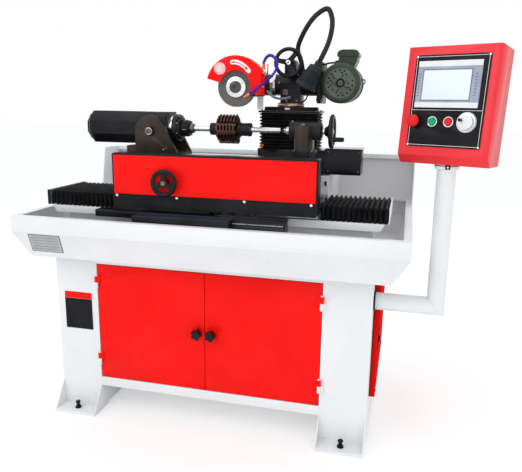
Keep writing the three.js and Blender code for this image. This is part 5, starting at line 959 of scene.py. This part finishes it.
b = Build("motor_cable")
b.tube([
    (415, 112, 1416), (400, 112, 1416), (376, 114, 1412), (352, 124, 1403), (331, 138, 1389),
    (318, 147, 1377), (312, 150, 1371),
], 3.6, 0, 16, 10)
lead = [(392, 128, 1374), (372, 126, 1372), (352, 132, 1378), (336, 142, 1376), (326, 148, 1372)]
b.tube(lead, 2.4, 0, 14, 8)
b.done("arm", [CABLE], "belt_rubber")

b = Build("head_lead")
b.tube([
    (306, 128, 1296), (305, 114, 1288), (300, 104, 1274), (290, 100, 1264), (279, 104, 1261),
    (272, 108, 1261),
], 3, 0, 14, 10)
b.box((277.5, 284), (98, 114), (1257.4, 1266))
b.done("head", [CABLE], "black_plastic", 0.4)


# Lamp: ribbed gooseneck and shade
NECK = [
    (282, 118, 1384), (276, 112, 1420), (263, 99, 1468), (283, 77, 1516), (319, 57, 1567), (355, 44, 1597),
    (388, 32, 1605.2), (406, 20, 1567), (406, 10, 1520), (395, 2, 1474), (376.3, -8, 1429.1),
    (366.7, -8, 1411.6),
]

b = Build("lamp_neck")
foot, parts = (282, 118), 16
b.tube(NECK, 10, 0, 20, parts, [9.7 if i % 2 else 9.1 for i in range((len(NECK) - 1) * parts + 1)])
b.lathe("z", foot, [
    (0, 1372), (16.4, 1372), (17, 1374), (17, 1382), (15, 1384), (11, 1385), (11, 1392), (0, 1392),
], 0, 40)
b.disc("z", foot, 16.6, 1352, 1372.5, 0, 40)
b.done("head", [SOFT_PLASTIC], "black_plastic", 0, "lamp_arm")

# The shade leans by 46 in 84; its mouth is 84 below its own origin
turn = Matrix.Translation((356, -8, 1392)) @ Matrix.Rotation(atan2(46, 84), 4, "Y")
b = Build("lamp_shade", turn)
profile = [(0, 22), (11.5, 22), (13, 20.5), (13, 7), (15, 5), (24.5, 1.6), (26, 0), (26.9, -5), (28.7, -14)]
for k in range(14):
    level = -15.5 - 3.7 * k
    r = 26 - level * 17 / 84
    profile += [(r, level), (r + 0.1, level - 1.6), (r - 1, level - 2.2), (r - 0.9, level - 3.2)]
profile += [(40.6, -69), (42.9, -83), (43, -84), (41, -84), (39.6, -76), (24, -5), (0, -5)]
b.lathe("z", (0, 0), profile, [0] * (len(profile) - 3) + [1] * 3, 72)
b.lathe("z", (0, 0), [(0, -30), (12, -30), (20, -26), (24, -16), (0, -16)], 2, 40)
b.done("head", [SOFT_PLASTIC, ALUMINIUM, LIGHT_PLASTIC], "black_plastic", 0, "lamp_head")


# Coolant valve and hoses
HOSE = [
    (169, -83, 1390.3), (169, -83, 1403.8), (177, -93, 1416), (189, -106, 1425), (204, -124, 1427),
    (219, -140, 1421), (232, -152, 1408), (238, -159, 1390), (234, -163, 1373), (220, -165, 1352),
    (201, -165, 1335), (180, -165, 1318), (157, -165, 1301), (147, -165, 1295), (136, -165, 1288.4),
]


def even(points, step):
    """The curve through the points again, with points a fixed step apart."""
    line = smooth_line(points, 24)
    made, left = [line[0]], step
    for a, c in zip(line, line[1:]):
        length = (c - a).length
        done = 0
        while length - done >= left:
            done += left
            made.append(a + (c - a) * done / length)
            left = step
        left -= length - done
    return made


b = Build("hose_links")
line = even(HOSE, 9 / 6)
shape = [3.6, 4.9, 5.8, 5.8, 5, 3.6]
b.tube(line, 5, 0, 20, 0, [shape[i % 6] for i in range(len(line))])
ahead = (line[-1] - line[-3]).normalized()
b.tube([line[-1] + ahead * d for d in (-1, 0.2, 5, 6, 23, 24)], 5, 1, 20, 0, [5.4, 5.7, 5.7, 4.9, 3.4, 2.9])
b.tube([line[0] + Vector((0, 0, d)) for d in (0, 1, 9, 10)], 5, 1, 20, 0, [5.3, 5.7, 5.7, 5])
b.done("arm", [VIOLET, ORANGE], "hose_violet", 0, "coolant_hose")

at = VALVE_AXIS
b = Build("valve_body")
b.lathe("z", at, [(0, 1356), (8.6, 1356), (9, 1356.6), (9, 1364), (0, 1364)], 1, 6)
b.lathe("z", at, [
    (0, 1361), (8.6, 1361), (9.8, 1364), (9.9, 1369), (8.8, 1374), (6.4, 1376), (6.4, 1381), (0, 1381),
], 1, 40)
b.disc("z", at, 7, 1379, 1385.5, 1, 6)
b.disc("z", at, 5.8, 1385, 1389.9, 2)
b.box((157.4, 173.6), (-94.6, -84), (1357, 1367.6))
b.done("arm", [BRASS, CHROME, ORANGE], "valve_brass", 0.4, "coolant_valve")

b = Build("valve_handle")
b.rod("x", (-83, 1366), 4, 179.4, 186, 1, 24)
b.prism("x", [
    (-87.3, 1361.6), (-78.7, 1361.6), (-78.7, 1374), (-80.4, 1380), (-79.2, 1398.6), (-83, 1399.8),
    (-86.8, 1398.6), (-85.6, 1380), (-87.3, 1374),
], 183.4, 186.2)
b.done("valve", [RED_CAP, CHROME], "red_paint", 0.5, "valve_lever")

b = Build("supply_tube")
b.tube([
    (237, 97.4, 1281), (237, 92, 1281), (237, 87, 1281), (227, 77, 1278), (206, 72, 1275), (182, 74, 1278),
    (160, 83, 1289), (146, 96, 1300), (138, 106, 1304),
], 5.1, 0, 18, 12)
b.lathe("y", (237, 1281), [(0, 88), (6.6, 88), (7.2, 89), (7.2, 97.2), (0, 97.2)], 1, 6)
b.done("head", [GREY_HOSE, DARK_STEEL], "hose_grey", 0, "supply_hose")


# Pole and control panel; a panel piece is built about its own middle on the tilted front plate
FACE = (Matrix.Translation((*POLE_AXIS, 1064)) @ Matrix.Rotation(-radians(25.6), 4, "Z")
        @ Matrix.Translation((3.5, -50.4, 204.9)) @ Matrix.Rotation(-radians(7), 4, "X"))
PLATE_Y, SEAT_Y = -3.3, -3.6
BUTTON_Z = -65.7
STOP_HEAD_X, START_X, STOP_X, DIAL_X = -100.2, -40.5, 14, 71.8


def on_face(x, y, z):
    return FACE @ Matrix.Translation((x, y, z))


b = Build("pole_joint")
b.washer("x", (POLE_AXIS[1], 559), 31.8, 35, 631.1, 637, 0, 64)
b.box((838, 854), (-268, -262), (1049, 1064.5))
collar = [(31.6, 1064.5), (34, 1064.5), (34, 1061), (41.2, 1061), (41.2, 1058.6), (31.6, 1058.6)]
b.closed("z", POLE_AXIS, collar, 0, 64)
b.screw("y", (846, 1056), 3.2, -267.5, -1.6, 1)
b.done("frame", [SATIN, STEEL], "black_paint", 0.4)

b = Build("panel_lines", on_face(0, PLATE_Y, 0))
left, right, low, high, width = -118.5, 118.5, -142.5, 143, 1.2
for z in (low, -29, high - width):
    b.box((left, right), (-0.25, 0.05), (z, z + width))
for x in (left, right - width):
    b.box((x, x + width), (-0.25, 0.05), (low, high))
b.each(b.dome, "y", product((left, right), (low, high)), 3.8, 0.2, -2, 1)
b.done("panel", [DECAL, STEEL], "bright_steel")

b = Build("screen_body", on_face(0, SEAT_Y, 0))
b.box((-108, 102), (-5.5, 0), (-21, 127.5), 1)
for z in ((109.5, 127.5), (-21, -4.5)):
    b.box((-108, 102), (-6, -4), z)
b.box((-98.7, 92.7), (-1, 35.6), (-11.7, 118.2), 1)
b.box((-90.5, 74.5), (-6.1, -5.3), (-0.5, 101.5), 2)
b.box((-86.5, 70.5), (-6.3, -5.9), (4, 97.5), 3)
for x, k in product(((84, 91), (-104, -98)), range(8)):
    b.box(x, (-5.7, -5.4), (16 + 9.5 * k, 20 + 9.5 * k), 2)
b.done("panel", [LIGHT_PLASTIC, SCREEN_SIDE, SCREEN_EDGE, GLASS], "screen_frame", 0.35, "touch_screen")

b = Build("stop_head", on_face(STOP_HEAD_X, 0, BUTTON_Z))
b.lathe("y", (0, 0), [
    (0, -31.3), (8, -31.1), (14, -30), (18, -27.4), (20, -23.5), (19.6, -20.6), (16, -19.4), (12, -19.3),
    (11, -14), (8, -13), (8, 20), (0, 20),
])
b.done("mushroom", [RED_CAP], "button_red", 0, "stop_mushroom")

b = Build("button_collars", on_face(0, PLATE_Y, BUTTON_Z))
b.closed("y", (STOP_HEAD_X, 0), [(8.6, 0), (17, 0), (18, -1), (17, -5), (8.6, -5)], 1, 56)
for x in (START_X, STOP_X):
    b.closed("y", (x, 0), [(12.4, 0), (16.6, 0), (17.4, -1), (16.8, -4.3), (14.5, -5.2), (12.4, -4.6)], 0, 48)
b.washer("y", (DIAL_X, 0), 30.6, 32, 0, -0.9, 0, 64)
b.done("panel", [CHROME, SATIN], "bright_steel", 0.2)

for name, x, material, slot in (
    ("start", START_X, GREEN_CAP, "button_green"), ("stop", STOP_X, RED_CAP, "button_red"),
):
    b = Build(name + "_cap", on_face(x, 0, BUTTON_Z))
    b.lathe("y", (0, 0), [
        (0, -13.6), (8.6, -13.8), (11.2, -14.3), (12, -13.4), (12, -8.4), (6, -8.3), (6, 20), (0, 20),
    ], 0, 48)
    b.done(name, [material], slot, 0, name + "_button")

b = Build("dial_wheel", on_face(DIAL_X, SEAT_Y, BUTTON_Z))
b.lathe("y", (0, 0), [
    (0, -16), (22.5, -16), (24.6, -15.2), (25, -13.6), (25, -4.6), (29, -4.4), (30, -3.6), (30, 0), (5, 0),
    (5, 23.6), (0, 23.6),
], [1] + [0] * 9, 72)
b.each(b.rod, "y", arc(0, 0, 24.7, 0, 350, 35), 0.9, -14, -5, 0, 8, 0.3)
crank = [(0, -31.6), (3.6, -31.6), (4.8, -29.8), (4.4, -20), (5, -17.4), (5, -15.8), (0, -15.8)]
b.lathe("y", (-12.5, 5), crank, 2, 32)
b.done("dial", [ALUMINIUM, LIGHT_PLASTIC, PLASTIC], "dial_metal", 0.2, "pulse_dial")


# Floor, light and surroundings
def seen_rays(tree):
    """One where a ray comes from the camera, from a reflection or through glass."""
    path = tree.nodes.new("ShaderNodeLightPath")
    total = path.outputs["Is Camera Ray"]
    for name in ("Is Glossy Ray", "Is Transmission Ray"):
        add = tree.nodes.new("ShaderNodeMath")
        add.operation = "MAXIMUM"
        tree.links.new(total, add.inputs[0])
        tree.links.new(path.outputs[name], add.inputs[1])
        total = add.outputs[0]
    return total


def mixed_shader(tree, factor, first, second, out):
    mix = tree.nodes.new("ShaderNodeMixShader")
    for socket, value in zip(mix.inputs, (factor, first, second)):
        tree.links.new(value, socket)
    tree.links.new(mix.outputs[0], out)


def pale_to_camera(s, share):
    """Mix white into what is seen of the floor, so that its shadow and its tint stay faint."""
    glow = s.node("ShaderNodeEmission", Color=(1, 1, 1, 1), Strength=1)
    amount = s.math("MULTIPLY", seen_rays(s.tree), share)
    out = s.tree.nodes["Material Output"].inputs["Surface"]
    mixed_shader(s.tree, amount, s.main.outputs[0], glow.outputs[0], out)


half = 30
data = bpy.data.meshes.new("floor")
data.from_pydata([(-half, -half, 0), (half, -half, 0), (half, half, 0), (-half, half, 0)], [], [range(4)])
s = Shader("floor paint", (0.985, 0.985, 0.985), 0.9)
s.vary(0.01, 0.6)
pale_to_camera(s, 0.45)
data.materials.append(s.material)
add_object("floor", data)

# Area lights: place, size, power and the point that each one is aimed at, in metres and watts
for name, place, size, power, aim in (
    ("key", (-2.2, -3, 3.4), 2.6, 42, (0, 0, 0.9)),
    ("fill", (3.4, -2.2, 2.2), 2.6, 14, (0, 0, 0.9)),
    ("top", (0.2, 0.2, 4), 3, 16, (0, 0, 0.8)),
    ("low", (0.3, -4.2, 0.9), 2.4, 8, (0, 0, 0.6)),
    ("back", (-1, 3.6, 2.4), 2.8, 10, (0, 0, 0.9)),
):
    light = bpy.data.lights.new(name, "AREA")
    light.size = size
    light.energy = power
    made = add_object(name, light)
    made.location = place
    made.rotation_euler = (Vector(aim) - Vector(place)).to_track_quat("-Z", "Y").to_euler()

# Soft light from all round, and plain white where it is seen
world = bpy.data.worlds.new("studio")
bpy.context.scene.world = world
world.use_nodes = True
tree = world.node_tree
tree.nodes.clear()
out = tree.nodes.new("ShaderNodeOutputWorld")
soft, white = (tree.nodes.new("ShaderNodeBackground") for _ in range(2))
for sky, colour in ((soft, (0.97, 0.985, 1, 1)), (white, (1, 1, 1, 1))):
    sky.inputs["Color"].default_value = colour
    sky.inputs["Strength"].default_value = 1
mixed_shader(tree, seen_rays(tree), soft.outputs[0], white.outputs[0], out.inputs[0])
bpy.context.scene.view_settings.view_transform = "Standard"
